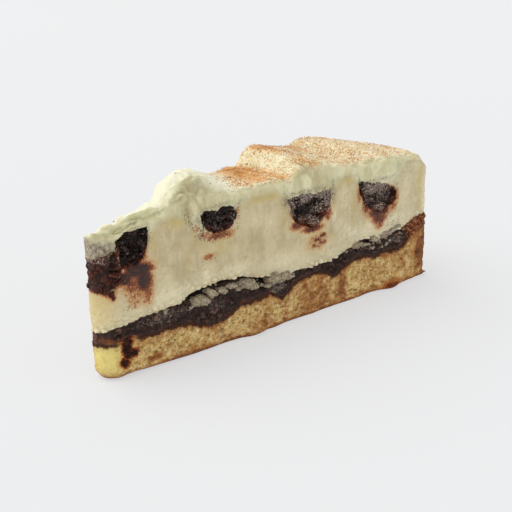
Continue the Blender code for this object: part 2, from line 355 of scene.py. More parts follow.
def edge_noise(ring, across, size, seed):
    """Noise that runs along an edge of a layer, the same for both layers that meet there."""
    around = np.stack([np.ravel(ring), np.ravel(across * (6 + 0.45 * ring)), np.zeros(np.size(ring))], 1)
    return rough(around, size, seed, fade=0.55).reshape(np.shape(ring))


def torn_sponge_top(ring, across):
    tear, length = SPONGE_EDGE
    return sponge_top(ring, across) + tear * edge_noise(ring, across, length, 51)


def torn_filling_top(ring, across):
    tear, length = FILLING_EDGE
    torn = filling_top(ring, across) + tear * edge_noise(ring, across, length, 52)
    return np.maximum(torn, torn_sponge_top(ring, across) + LEAST_TORN_FILLING)


def groove_floor(ring, across):
    """The cheesecake's top as it shows: the solid's, with a slightly uneven edge."""
    tear, length = CREAM_EDGE
    return cream_top(ring, across) + tear * edge_noise(ring, across, length, 53)


# Skins


class Skin:
    """Points of one layer's closed skin, with where each lies on the slice."""

    def __init__(self, ring, across, height, lift):
        self.ring = ring
        self.across = across
        self.lift = lift
        self.near = across < -0.999
        self.far = across > 0.999
        self.nose = ring < 0.001
        self.rim = ring > CUT_LENGTH - 0.001
        self.along = along_face(ring, across)
        self.radius = NOSE_RADIUS + self.along
        self.unrolled = np.where(self.nose, -NOSE_WIDTH * far_share(across), self.along)
        self.towards_near = (across < 0) | self.nose
        self.points = self.placed(height)
        self.faces = []

    @property
    def height(self):
        return self.points[:, 2]

    @property
    def face_walls(self):
        return self.near | self.far

    @property
    def outer(self):
        return self.near | self.far | self.nose | self.rim

    def patches(self, near, far=()):
        """Soft blots on the near and far faces, the strongest winning.

        Each is (along, height, half-length, half-height, strength), and on the near face along
        goes on round the nose below 0.
        """
        total = np.zeros(len(self.ring))
        for facing, blots in ((self.towards_near, near), (~self.towards_near, far)):
            for at, up, length, tall, strength in blots:
                reach = ((self.unrolled - at) / length) ** 2 + ((self.height - up) / tall) ** 2
                total = np.maximum(total, facing * strength * np.exp(-reach ** 1.3))
        return total * np.where(self.rim, np.exp(-from_cut(self) / 1.5), 1)

    def placed(self, height):
        angle = self.across * HALF_ANGLE
        blunt = NOSE_BULGE * (1 - self.across ** 2) + NOSE_SLANT * far_share(self.across)
        x = self.radius * np.cos(angle) - blunt * smooth_step(1 - self.along / NOSE_FADE)
        return np.stack([x + APEX_X, self.radius * np.sin(angle), height], 1)

    def normals(self):
        quads = np.array([face for face in self.faces if len(face) == 4])
        a, b, c, d = (self.points[quads[:, corner]] for corner in range(4))
        facing = np.cross(c - a, d - b)
        total = np.zeros_like(self.points)
        for corner in range(4):
            for axis in range(3):
                total[:, axis] += np.bincount(quads[:, corner], facing[:, axis], len(total))
        return total / np.maximum(np.linalg.norm(total, axis=1, keepdims=True), 1e-12)


def border_walk(rows, columns):
    """Grid places round the border, anticlockwise from above, starting at the nose."""
    near = [(row, 0) for row in range(rows - 1)]
    rim = [(rows - 1, column) for column in range(columns - 1)]
    far = [(row, columns - 1) for row in range(rows - 1, 0, -1)]
    nose = [(0, column) for column in range(columns - 1, 0, -1)]
    return np.array(near + rim + far + nose)


def zipped(first, first_at, second, second_at):
    """Triangles between two rows of points that run the same way with different spacing."""
    triangles = []
    i = j = 0
    while i < len(first) - 1 or j < len(second) - 1:
        step_first = j == len(second) - 1 or (i < len(first) - 1 and first_at[i + 1] <= second_at[j + 1])
        if step_first:
            triangles.append((first[i], second[j], first[i + 1]))
            i += 1
        else:
            triangles.append((first[i], second[j], second[j + 1]))
            j += 1
    return triangles


def layer_skin(bottom, top, first=0.0, last=CUT_LENGTH, columns=TOP_COLUMNS, fine_top=False,
               step=RING_STEP):
    """Closed skin between two surfaces.  Only a fine top has all its columns inside."""
    rows = int(round((last - first) / step)) + 1
    rings = np.linspace(first, last, rows)
    full = np.sin(np.linspace(-1, 1, columns) * math.pi / 2 * COLUMN_CROWDING)
    full = full / math.sin(math.pi / 2 * COLUMN_CROWDING)
    few = np.linspace(-1, 1, HIDDEN_COLUMNS)
    walk = border_walk(rows, columns)
    walk_ring, walk_across = rings[walk[:, 0]], full[walk[:, 1]]
    low, high = bottom(walk_ring, walk_across), top(walk_ring, walk_across)
    levels = max(4, int(math.ceil(np.max(high - low) / WALL_STEP)))

    parts = []
    count = 0
    belts = []
    for level in range(levels + 1):
        lift = level / levels
        height = low + (high - low) * lift
        parts.append((walk_ring, walk_across, height, np.full(len(walk), lift)))
        belts.append(np.arange(count, count + len(walk)))
        count += len(walk)
    faces = []
    for below, over in zip(belts, belts[1:]):
        following = np.roll(below, -1), np.roll(over, -1)
        faces += np.stack([below, following[0], following[1], over], 1).tolist()

    lookup = {tuple(place): index for index, place in enumerate(walk.tolist())}
    for surface, belt, lift, upwards in ((bottom, belts[0], 0.0, False), (top, belts[-1], 1.0, True)):
        inside = full if (fine_top and upwards) else few
        ring, across = np.meshgrid(rings[1:-1], inside[1:-1], indexing="ij")
        parts.append((ring.ravel(), across.ravel(), surface(ring, across).ravel(),
                      np.full(ring.size, lift)))
        body = np.arange(count, count + ring.size).reshape(ring.shape)
        count += ring.size
        near = [belt[lookup[row, 0]] for row in range(rows)]
        far = [belt[lookup[row, columns - 1]] for row in range(rows)]
        grid = np.concatenate([np.array(near[1:-1])[:, None], body, np.array(far[1:-1])[:, None]], 1)
        quads = np.stack([grid[:-1, :-1], grid[1:, :-1], grid[1:, 1:], grid[:-1, 1:]], 2).reshape(-1, 4)
        nose_row = [belt[lookup[0, column]] for column in range(columns)]
        rim_row = [belt[lookup[rows - 1, column]] for column in range(columns)]
        ends = [tri[::-1] for tri in zipped(list(grid[0]), inside, nose_row, full)]
        ends += zipped(list(grid[-1]), inside, rim_row, full)
        cap = quads.tolist() + [list(tri) for tri in ends]
        faces += [face if upwards else face[::-1] for face in cap]
    skin = Skin(*(np.concatenate([part[index] for part in parts]) for index in range(4)))
    skin.faces = [[int(corner) for corner in face] for face in faces]
    return skin


def soften(skin, weight, rounds):
    """Rounds off the weighted points by drawing each towards its neighbours."""
    pairs = np.array([(face[corner - 1], face[corner]) for face in skin.faces
                      for corner in range(len(face))])
    count = np.bincount(pairs[:, 0], minlength=len(skin.points)) + 1e-9
    for _ in range(rounds):
        middle = np.stack([np.bincount(pairs[:, 0], skin.points[pairs[:, 1], axis], len(count)) / count
                           for axis in range(3)], 1)
        skin.points += (middle - skin.points) * (0.5 * weight)[:, None]


def push(skin, amount, level=None):
    """Moves each point along its own normal, which is laid flat where level says so."""
    facing = skin.normals()
    if level is not None:
        facing[level, 2] = 0
        facing /= np.maximum(np.linalg.norm(facing, axis=1, keepdims=True), 1e-9)
        flat = level & skin.face_walls
        facing[flat] = -inwards(skin)[flat]
    skin.points += facing * amount[:, None]


def inwards(skin):
    """Level direction into the slice from the nearer cut face."""
    side = np.where(skin.across < 0, 1.0, -1.0)
    return np.stack([np.full(len(side), math.sin(HALF_ANGLE)), side * math.cos(HALF_ANGLE),
                     np.zeros(len(side))], 1)


def roll_edge(skin, radius):
    """Rounds the top's edge along both cut faces to an arc of the given radius at each point."""
    depth = frosting_top(skin.ring, skin.across) - skin.height
    top = skin.lift > 0.999
    away = np.where(top, from_cut(skin), depth)
    turn = np.where(top, 1 - away / radius, 1 + away / radius) * math.pi / 4
    turn = np.clip(turn, 0, math.pi / 2)
    moved = (away < radius) & (top | skin.face_walls)
    now_in = np.where(top, from_cut(skin), 0.0)
    new_in = radius * (1 - np.sin(turn))
    new_depth = radius * (1 - np.cos(turn))
    skin.points += inwards(skin) * ((new_in - now_in) * moved)[:, None]
    skin.points[:, 2] -= (new_depth - np.where(top, 0.0, depth)) * moved


def from_cut(skin):
    """Distance from the nearer cut face."""
    return (1 - np.abs(skin.across)) * HALF_ANGLE * skin.radius


def solid_relief(skin):
    """The low relief that the sides of the solids have."""
    low = smooth_step(1 - (skin.height - sponge_top(skin.ring, skin.across)) / CRAG_FADE)
    around = skin.ring + (skin.across + 1) * CUT_LENGTH
    crag = CRAG_CREAM + (CRAG_SPONGE - CRAG_CREAM) * low
    faces = crag * flat_lumps(around, skin.height, CRAG_SIZE, seed=21)
    for blob in BLOBS:
        along = (skin.ring - blob["ring"]) / blob["length"]
        upwards = (skin.height - BLOB_HEIGHT) / BLOB_SPREAD
        faces = faces + blob["out"] * np.exp(-along ** 2 - upwards ** 2) * skin.near
    bulge = SPONGE_BULGE * np.exp(-((skin.height - BULGE_HEIGHT) / BULGE_SPREAD) ** 2)
    sideways = (skin.across - FLAKE["across"]) / FLAKE["width"]
    upwards = (skin.height - FLAKE["height"]) / FLAKE["spread"]
    bulge = bulge + CRAG_SPONGE * flat_lumps(skin.across * 20, skin.height, CRAG_SIZE, seed=22)
    bulge = bulge + FLAKE["out"] * np.exp(-sideways ** 2 - upwards ** 2)
    angle = skin.across * HALF_ANGLE
    outwards = np.stack([np.cos(angle), np.sin(angle), np.zeros(len(angle))], 1)
    skin.points += outwards * (bulge * skin.rim)[:, None]
    side = np.where(skin.near, -1.0, 1.0)
    skin.points[:, 0] -= faces * math.sin(HALF_ANGLE) * skin.face_walls
    skin.points[:, 1] += faces * side * math.cos(HALF_ANGLE) * skin.face_walls


def shown(name, data):
    """A new object in the scene."""
    thing = bpy.data.objects.new(name, data)
    bpy.context.scene.collection.objects.link(thing)
    return thing


def made(name, skin, look, masks):
    """The finished object of a skin, with its masks as attributes of the points."""
    data = bpy.data.meshes.new(name)
    lengths = np.array([len(face) for face in skin.faces])
    corners = np.concatenate([np.asarray(face) for face in skin.faces])
    data.vertices.add(len(skin.points))
    data.vertices.foreach_set("co", (skin.points * MM).astype(np.float32).ravel())
    data.loops.add(len(corners))
    data.loops.foreach_set("vertex_index", corners.astype(np.int32))
    data.polygons.add(len(lengths))
    starts = np.concatenate([[0], np.cumsum(lengths)[:-1]])
    data.polygons.foreach_set("loop_start", starts.astype(np.int32))
    data.update(calc_edges=True)
    data.validate()
    data.shade_smooth()
    data.set_sharp_from_angle(angle=SHARP_ANGLE)
    for mask, values in masks.items():
        layer = data.attributes.new(mask, "FLOAT", "POINT")
        layer.data.foreach_set("value", np.clip(values, 0, 1).astype(np.float32))
    data.materials.append(look)
    return shown(name, data)


# Cut faces

POCKETS = (
    ((-9, 34.8), (-3, 35.4), (0, 36.8), (2.8, 37.4), (3.4, 33.4), (3.8, 29.6), (1.4, 26), (0.6, 24),
     (-0.6, 25.4), (-3.9, 25.8), (-9, 25.6)),
    ((2.5, 40.2), (6, 41.9), (9, 41.6), (12.2, 41.5), (12.7, 39), (12, 35.4), (10.7, 33), (8.3, 31.6),
     (5.5, 31.2), (3.8, 31.8), (3, 35), (2.5, 37.5)),
    ((29, 41.3), (31.3, 42.1), (34.7, 41.4), (37, 42.2), (40.3, 41.6), (41.3, 39.6), (40.3, 36.8),
     (38.4, 35.2), (35.8, 34.6), (33.4, 34.9), (31.2, 36.2), (29.5, 38.6)),
    ((59.8, 39.6), (64.9, 40.3), (70.5, 39.8), (76.9, 40), (77.5, 36.8), (75.9, 32.8), (73.4, 30.5),
     (70, 29), (67, 29.8), (63.8, 31.3), (61.2, 34.6)),
    ((89.2, 39.8), (93, 39), (97, 38.4), (101, 37.3), (104.8, 35.8), (106.8, 33.4), (106.1, 31),
     (103.6, 29.3), (100.3, 27.8), (97.5, 28.1), (94.4, 29.9), (91.6, 32.4), (89.8, 35.6)),
)
NEAR_STAINS = (
    (8.5, 30.2, 4.8, 2.4, 1.25), (4.4, 28.8, 3.2, 2.2, 1.15), (10.2, 27, 2.8, 3.6, 1.1),
    (7, 26.6, 4.4, 3.2, 0.66), (10.6, 23.2, 2.4, 4.2, 0.6), (7.4, 22.8, 3.4, 3.2, 0.5),
    (5.3, 22.4, 0.9, 1.9, 0.42), (6.6, 20.4, 1.4, 0.9, 0.36), (0.6, 24.6, 0.7, 1.4, 1),
    (4.6, 24.6, 1.2, 1.6, 0.4), (-5.4, 25.6, 2.6, 0.8, 0.5), (31.4, 28.6, 2.4, 1.2, 0.5),
    (35.4, 34.2, 5.4, 1.5, 0.7), (38.6, 33.8, 2.4, 1.5, 0.5), (27.3, 37.6, 1.4, 1.4, 0.3),
    (30.4, 35.4, 2.4, 1.5, 0.5), (41.8, 39.6, 0.9, 3.2, 0.3), (63.8, 30.8, 3, 1.7, 0.8),
    (76, 32.2, 1.9, 2.4, 0.75), (69.8, 28.6, 4.8, 1.4, 0.85), (73.9, 25.7, 1.5, 0.8, 0.9),
    (71.6, 24.7, 1.4, 0.8, 0.85), (70.2, 22.9, 1.3, 1.1, 0.7), (74.6, 23.3, 1.3, 0.9, 0.7),
    (72.8, 23.8, 0.8, 1.4, 0.7), (71.6, 23.8, 5, 3.2, 0.42), (98.6, 28.2, 5.6, 2.4, 0.95),
    (98.6, 26, 4, 2.4, 0.8), (98.8, 23.8, 2.4, 2, 0.6), (105, 29, 2, 2.2, 0.55), (92.6, 30.6, 2, 2.6, 0.7),
    (89.4, 35.4, 1, 3.6, 0.6), (107, 32, 0.9, 2.8, 0.45),
)
FAR_STAINS = (
    (9, 30, 4.4, 3, 0.9), (6, 24.6, 1.8, 4, 0.5), (12, 23, 1.4, 2.6, 0.4), (44, 33, 5, 1.2, 0.5),
    (47, 27.6, 1.9, 1.3, 0.5), (40, 29.8, 1.2, 1, 0.4), (71, 27.8, 5.2, 1.6, 0.66),
    (68, 24.2, 1.8, 1.6, 0.45), (76, 26, 1.4, 1.2, 0.45), (102, 26.2, 5, 2, 0.75),
    (104, 23.6, 2.2, 1.8, 0.5), (97, 30, 2, 2.2, 0.5),
)
# Warm yellow of the cream: its own tone, except the patches round the nose, below 0 along, which are a
# painted glow of the thin nose
WARM_TONES_AND_NOSE_GLOW = (
    (22, 41.4, 5.4, 2.2, 0.7), (52, 42, 8.4, 1.5, 0.75), (84, 41.4, 5, 1.4, 0.6), (25, 30, 1.6, 5, 0.3),
    (27, 35, 2, 4, 0.3), (58.6, 36, 2, 6, 0.3), (14, 36, 1, 6, 0.4), (87.6, 34, 1.8, 7, 0.35),
    (79, 36, 1.2, 4, 0.35), (9, 24, 5, 5, 0.45), (-4.6, 20.6, 5.6, 6, 1), (-7.6, 21, 1.4, 5, 1),
    (72, 24, 7, 4, 0.3), (117, 36, 1.2, 7, 0.9), (98, 25, 7, 4, 0.35), (34, 31, 8, 3, 0.3),
)
FAR_WARM = ((30, 41, 5, 2, 0.6), (56, 42, 6, 1.6, 0.6), (88, 41.6, 5, 1.6, 0.5))
GREYS = (
    (-3.4, 37.2, 5.8, 2.8, 1.3), (-6.8, 40.4, 3, 3.4, 1.2), (1, 38.6, 2.4, 2.2, 0.9),
    (59.4, 39.2, 1.7, 1.8, 0.6), (78, 38.6, 1.4, 2.6, 0.55), (89, 38.6, 1, 2.4, 0.5),
    (9, 42.4, 4, 0.7, 0.55), (28, 39.4, 1, 3, 0.5), (67, 40.8, 8, 0.8, 0.4), (98, 39, 7, 0.7, 0.35),
    (35, 42.8, 6, 0.7, 0.3),
)
# Where the crumb shows grey: partly grey crumb, partly painted glints
GLINTS = (
    (3, 35, 0.6, 3.2, 0.7), (36, 38.8, 2.4, 0.6, 0.6), (39.6, 38.4, 0.9, 2.4, 0.5),
    (68.5, 38.9, 9.4, 2.3, 1.4), (61.8, 36.6, 2.2, 3.2, 1.2), (76, 36.2, 2, 3.4, 1.1),
    (71.6, 34.8, 4, 2.2, 0.8), (67.4, 32.4, 4.6, 1.6, 0.6), (70.6, 31, 3, 1.4, 0.9),
    (97, 36.6, 8.4, 3.2, 1.15), (100.6, 33, 6, 3, 0.6), (93, 33.4, 3, 3.4, 0.6), (99, 30, 3, 1.5, 1),
    (8, 39, 4, 2, 0.16), (35.5, 40.6, 5, 1.2, 0.2), (40, 37.4, 1.2, 2, 0.5), (35, 37, 5, 2.6, 0.25),
    (-3, 34.8, 5, 1.4, 0.7),
)
HOLES = (
    (65.2, 35.4, 3, 1.4, 0.9), (63.8, 38.6, 1.3, 1, 0.9), (70.8, 37.4, 1.6, 1.3, 1),
    (105.6, 33.6, 1.3, 3, 0.7), (90.2, 36, 1, 4, 0.5),
)
RUSTS = (
    (-4, 31, 4.4, 5.5, 0.75), (8, 31, 5, 1.4, 0.8), (0.5, 29, 3, 3.4, 0.8), (67, 30.6, 5, 2, 0.95),
    (75.4, 32.8, 2.2, 2.6, 0.95), (98.5, 28.6, 5.4, 1.8, 0.95), (91.2, 33, 1.4, 3.4, 0.7),
    (105.4, 31, 2, 2.4, 0.7),
)
SMEARS = (
    (76.6, 34, 1.6, 2.6, 0.6), (78.6, 30.6, 1.8, 2.2, 0.8), (80.6, 27.8, 2, 2.2, 0.9),
    (83.4, 25.4, 2.8, 2.2, 1), (87, 23.6, 3.6, 1.8, 1), (93, 24.6, 3, 2.4, 0.7), (104, 24.6, 6, 1.6, 0.8),
    (18, 20.4, 6, 2.6, 0.8), (30, 24, 3, 2.6, 0.7), (26, 27, 1.6, 4, 0.5), (41, 22.6, 4, 2, 0.6),
    (57, 21, 6, 2.2, 0.5), (16, 27, 2.4, 5, 0.5), (47, 36, 3, 2.4, 0.35), (53, 34, 2.4, 3.4, 0.4),
    (83, 36, 2, 4, 0.4), (111, 34, 2.4, 6, 0.4), (119.4, 32, 0.8, 9, 0.9),
)
SPECKS = (
    (24.3, 42.6, 1, 2.4, 0.8), (25.6, 40, 1.4, 2, 0.95), (27.4, 37.6, 1.6, 1.6, 1.1),
    (29.6, 35.6, 2.4, 1.6, 1.5), (28, 39.5, 1.2, 2, 0.5), (34.5, 34, 5, 1.4, 1), (41.6, 40, 1, 3.2, 0.8),
    (40.5, 35.6, 1.6, 1.6, 0.7), (35, 42.6, 5, 0.9, 0.6), (59.6, 38.6, 2, 3, 0.75),
    (78, 38.6, 1.8, 3.4, 0.8), (68, 40.8, 9, 1, 0.7), (62.5, 31.6, 2, 1.6, 0.7), (98, 39, 8, 1, 0.4),
    (89, 37.6, 1, 3, 0.7), (100, 26.6, 4.4, 2.6, 0.7), (93, 30.4, 2.2, 2.2, 0.6), (107, 34, 1.2, 3, 0.5),
    (8.4, 26.6, 4, 4.6, 0.75), (6, 21, 2.4, 1.6, 0.5), (12.6, 38, 0.9, 4, 0.5), (31.4, 28.4, 3, 1.6, 0.5),
    (72.4, 23.8, 3.4, 2.2, 0.55), (43.8, 25.4, 0.8, 0.7, 0.9), (87, 23, 4, 2, 0.3), (106, 23, 4, 1.4, 0.6),
)
POCKET_RECESS = 1.3
FOLDED_RIDGES = ((27, 10, 14), (69.5, 8, 13))
FROST_BLEND = (-5, -3.4, -1.7, 0, 1.7, 3.4, 5)
HALO = 0.7


def inside(along, height, outline):
    """Distance within a closed outline, and below 0 outside it."""
    corners = np.array(outline)
    nearest = np.full(len(along), 99.0)
    within = np.zeros(len(along), bool)
    for (start_along, start_up), (end_along, end_up) in zip(corners, np.roll(corners, -1, axis=0)):
        run, rise = end_along - start_along, end_up - start_up
        share = ((along - start_along) * run + (height - start_up) * rise) / (run ** 2 + rise ** 2)
        share = np.clip(share, 0, 1)
        away = np.hypot(along - start_along - share * run, height - start_up - share * rise)
        nearest = np.minimum(nearest, away)
        if rise:
            crossing = start_along + (height - start_up) / rise * run
            within ^= ((start_up > height) != (end_up > height)) & (along < crossing)
    return np.where(within, nearest, -nearest)


def pocket_depth(skin):
    """How far within the pockets' outlines the points of the cut faces lie."""
    along = np.where(skin.nose, skin.unrolled, skin.ring)
    height = skin.height
    level = np.stack([along, height, np.zeros(len(along))], 1)
    along = along + skin.far * 1.6 * waves(level, 14.0, 141)
    height = height + skin.far * 1.2 * waves(level, 19.0, 142)
    depth = np.max([inside(along, height, outline) for outline in POCKETS], axis=0)
    torn = 0.55 * rough(skin.points, 1.5, 143, fade=0.7)
    return np.where(skin.face_walls | skin.nose, depth + torn, -9.0)


def on_ridge(skin):
    return np.clip(sum(hump(skin.ring, *form) for form in FOLDED_RIDGES), 0, 1)


def frost_share(skin):
    """Where the cut faces show frosting: over the cream, and down into the grooves."""
    depth = sum(groove_depth(skin.ring, groove) * (np.abs(skin.ring - groove["ring"]) < groove["inner"])
                for groove in GROOVES.values())
    grooved = smooth_step(depth / STEEP_DEPTH)
    line = np.mean([cream_top(np.clip(skin.ring + step, 0, CUT_LENGTH), skin.across)
                    for step in FROST_BLEND], axis=0) + (1 - grooved)
    torn = 1.6 * rough(skin.points, 5.0, 145, octaves=5, fade=0.6)
    return skin.outer * between(-2.0, 2.0, skin.height - line + torn)


def cut_face(skin):
    """Relief of the cut faces and what they show, alike for the layers that meet there."""
    depth = pocket_depth(skin)
    points = skin.points
    frost = frost_share(skin)
    bent = warped(points, 1.4, 1.2, 131)
    lumps, number = clods(bent, (2.7, 2.7, 2.1), 130)
    grains, _ = clods(bent, 1.1, 140)
    crumbly = between(-0.5, 0.6, depth)
    # grey on the crumb, partly its own colour and partly painted glints
    ash_and_glint_share = np.clip(skin.patches(GLINTS) - skin.patches(HOLES), 0, 1)
    crumb = -POCKET_RECESS + 1.7 * lumps * (0.25 + number) + 0.4 * grains + 0.3 * rough(points, 1.2, 150)
    crumb = np.where(skin.nose, 0.5 * crumb, crumb) + 0.8 * ash_and_glint_share
    drags = 0.1 * waves(points, (1.3, 1.3, 9.0), 120) + 0.06 * waves(points, (9.0, 9.0, 0.8), 121)
    soft = 0.24 * rough(points, 5.0, 125, octaves=4, fade=0.6)
    loose = warped(points, 5.0, 2.0, 163)
    folds = np.abs(waves(loose, (3.0, 3.0, 12.0), 160)) * 0.9 * on_ridge(skin)
    puffs = 0.35 * np.abs(waves(loose, 4.0, 161)) + 0.15 * rough(points, 1.4, 162)
    relief = drags + soft + frost * (folds + puffs - 0.25)
    relief = relief + (crumb - relief) * crumbly
    out = np.maximum(-depth, 0)
    low = between(39.5, 31.5, skin.height)
    halo = np.exp(-(out / 0.8) ** 1.2) * HALO * (0.06 + 0.94 * low)
    halo = np.maximum(halo, 0.32 * np.exp(-out / 1.9) * low)
    greys = skin.patches(GREYS)
    halo = halo * (0.9 + 0.4 * rough(points, 2.2, 31)) * (skin.face_walls | skin.nose)
    halo = halo * (1 - np.clip(greys, 0, 1))
    masks = {
        "crumb": between(-0.35, 0.35, depth),
        "frost": frost,
        "stain": np.maximum(skin.patches(NEAR_STAINS, FAR_STAINS), halo),
        # the cream's own warm tone, and a painted glow round the nose
        "warm_and_glow": np.maximum(skin.patches(WARM_TONES_AND_NOSE_GLOW, FAR_WARM),
                           0.7 * np.exp(-(CUT_LENGTH - skin.ring) / 2.0) * skin.outer),
        "grey": greys,
        "speck": skin.patches(SPECKS),
        # grey crumb and painted glints, with painted glints on the tops of some lumps
        "glint": np.maximum(ash_and_glint_share, 0.25 * (number > 0.75) * between(0.05, 0.5, lumps) * ~skin.nose),
        "rust": np.maximum(skin.patches(RUSTS),
                           0.75 * between(1.6, 0.2, depth) * between(40.0, 36.0, skin.height)),
        # painted shade: the crumb darkened in the cracks between its lumps and grains
        "painted_crevice_shade": np.maximum(between(0.4, 0.0, lumps), 0.6 * between(0.3, 0.0, grains)) * (1 - 0.7 * ash_and_glint_share),
        # painted shade in the hollows between the folds of the frosting on the ridges
        "crease": np.clip(1 - 2.4 * folds - 0.6 * puffs, 0, 1) * on_ridge(skin),
    }
    return relief * skin.outer, masks


# Materials


def rgb(red, green, blue):
    """A screen colour, 0..255, as the shader's own linear colour."""
    def linear(part):
        part = part / 255
        return part / 12.92 if part <= 0.04045 else ((part + 0.055) / 1.055) ** 2.4
    return (linear(red), linear(green), linear(blue), 1.0)


class Look:
    """A node material in the making.  Its colours are screen colours, as (red, green, blue)."""

    def __init__(self, name):
        self.material = bpy.data.materials.new(name)
        self.material.use_nodes = True
        self.tree = self.material.node_tree
        self.shader = self.tree.nodes["Principled BSDF"]
        self.place = self.tree.nodes.new("ShaderNodeTexCoord").outputs["Object"]

    def node(self, kind, settings=None, inputs=None, **named):
        node = self.tree.nodes.new("ShaderNode" + kind)
        for name, value in (settings or {}).items():
            setattr(node, name, value)
        self.feed(node, inputs or named)
        return node

    def feed(self, node, inputs):
        """Links or sets a node's inputs, by name or by number."""
        for name, value in inputs.items():
            socket = node.inputs[name.replace("_", " ") if isinstance(name, str) else name]
            if isinstance(value, bpy.types.NodeSocket):
                self.tree.links.new(value, socket)
            else:
                socket.default_value = value

    def set(self, **inputs):
        self.feed(self.shader, inputs)

    def noise(self, size, detail=3.0, roughness=0.55, stretch=None, place=None):
        """Noise 0..1 with features of about the given size in millimetres."""
        place = self.place if place is None else place
        if stretch:
            place = self.node("Mapping", Vector=place, Scale=stretch).outputs[0]
        return self.node("TexNoise", Vector=place, Scale=1000.0 / size, Detail=detail,
                         Roughness=roughness).outputs["Fac"]

    def read(self, value):
        """The noise that a tuple of its size, detail, roughness and stretch asks for, or the value."""
        return self.noise(*value) if isinstance(value, tuple) else value

    def grains(self, size):
        """Noise for specks on the top, longer one way, as when they are dusted on from the nose."""
        place = self.node("Mapping", {"vector_type": "TEXTURE"}, Vector=self.place,
                          Rotation=(0.0, 0.0, math.radians(-45)), Scale=(1.0, 2.3, 1.0)).outputs[0]
        return self.noise(size, 2.0, 0.7, place=place)

    def cells(self, size):
        return self.node("TexVoronoi", Vector=self.place, Scale=1000.0 / size).outputs["Distance"]

    def mask(self, name):
        return self.node("Attribute", {"attribute_name": name}).outputs["Fac"]

    def maths(self, operation, first, second):
        return self.node("Math", {"operation": operation}, {0: first, 1: second}).outputs[0]

    def times(self, first, second):
        return self.maths("MULTIPLY", first, second)

    def plus(self, first, second):
        return self.maths("ADD", first, second)

    def rise(self, value, low, high):
        """0..1 as the value goes from low to high."""
        return self.node("MapRange", {"interpolation_type": "SMOOTHSTEP"}, Value=self.read(value),
                         From_Min=low, From_Max=high).outputs[0]

    def uneven(self, name, *swings):
        """A mask broken up by noise, which acts only where the mask does.

        Each swing is a value and an amount, or the numbers of a noise and an amount.
        """
        mask = total = self.mask(name)
        for *noise, amount in swings:
            noise = self.read(tuple(noise)) if len(noise) > 1 else noise[0]
            swing = self.times(self.maths("SUBTRACT", noise, 0.5), amount)
            total = self.plus(total, self.times(swing, self.rise(mask, 0.02, 0.3)))
        return total

    def mix(self, share, *colours):
        first, second = (rgb(*colour) if isinstance(colour, tuple) else colour for colour in colours)
        return self.node("Mix", {"data_type": "RGBA"}, {0: share, 6: first, 7: second}).outputs[2]

    def tint(self, base, colour, share, span=None, weight=None):
        """The base under a colour, by a share that may first be spread over a span and weighed."""
        share = self.rise(share, *span) if span else self.read(share)
        return self.mix(self.times(share, weight) if weight else share, base, colour)

    def tints(self, base, *steps):
        """The base under one colour after another, each with what tint asks for."""
        for step in steps:
            base = self.tint(base, *step)
        return base

    def ramp(self, value, *stops):
        node = self.node("ValToRGB", Fac=self.read(value))
        points = node.color_ramp.elements
        while len(points) < len(stops):
            points.new(0.5)
        for point, (at, colour) in zip(points, stops):
            point.position = at
            point.color = rgb(*colour)
        return node.outputs[0]

    def relief(self, *bumps):
        """Fine relief from bumps of (height, strength, depth in millimetres), each on the last."""
        under = {}
        for height, strength, depth in bumps:
            node = self.node("Bump", Height=self.read(height), Strength=strength,
                             Distance=depth * MM, **under)
            under = {"Normal": node.outputs[0]}
        self.set(**under)


STAIN_STOPS = (
    (0.0, (224, 190, 134)), (0.2, (214, 160, 92)), (0.42, (190, 116, 54)),
    (0.6, (144, 72, 30)), (0.78, (92, 40, 18)), (1.0, (40, 18, 12)),
)
UPRIGHT = (1.0, 1.0, 0.4)


def stained(look, base):
    """Lays the cinnamon stain over a colour, with torn edges and darker specks."""
    uneven = look.uneven("stain", (2.6, 5, 0.75, 0.8), (0.6, 3, 0.8, 1.3))
    return look.tint(base, look.ramp(uneven, *STAIN_STOPS), uneven, (0.0, 0.62))


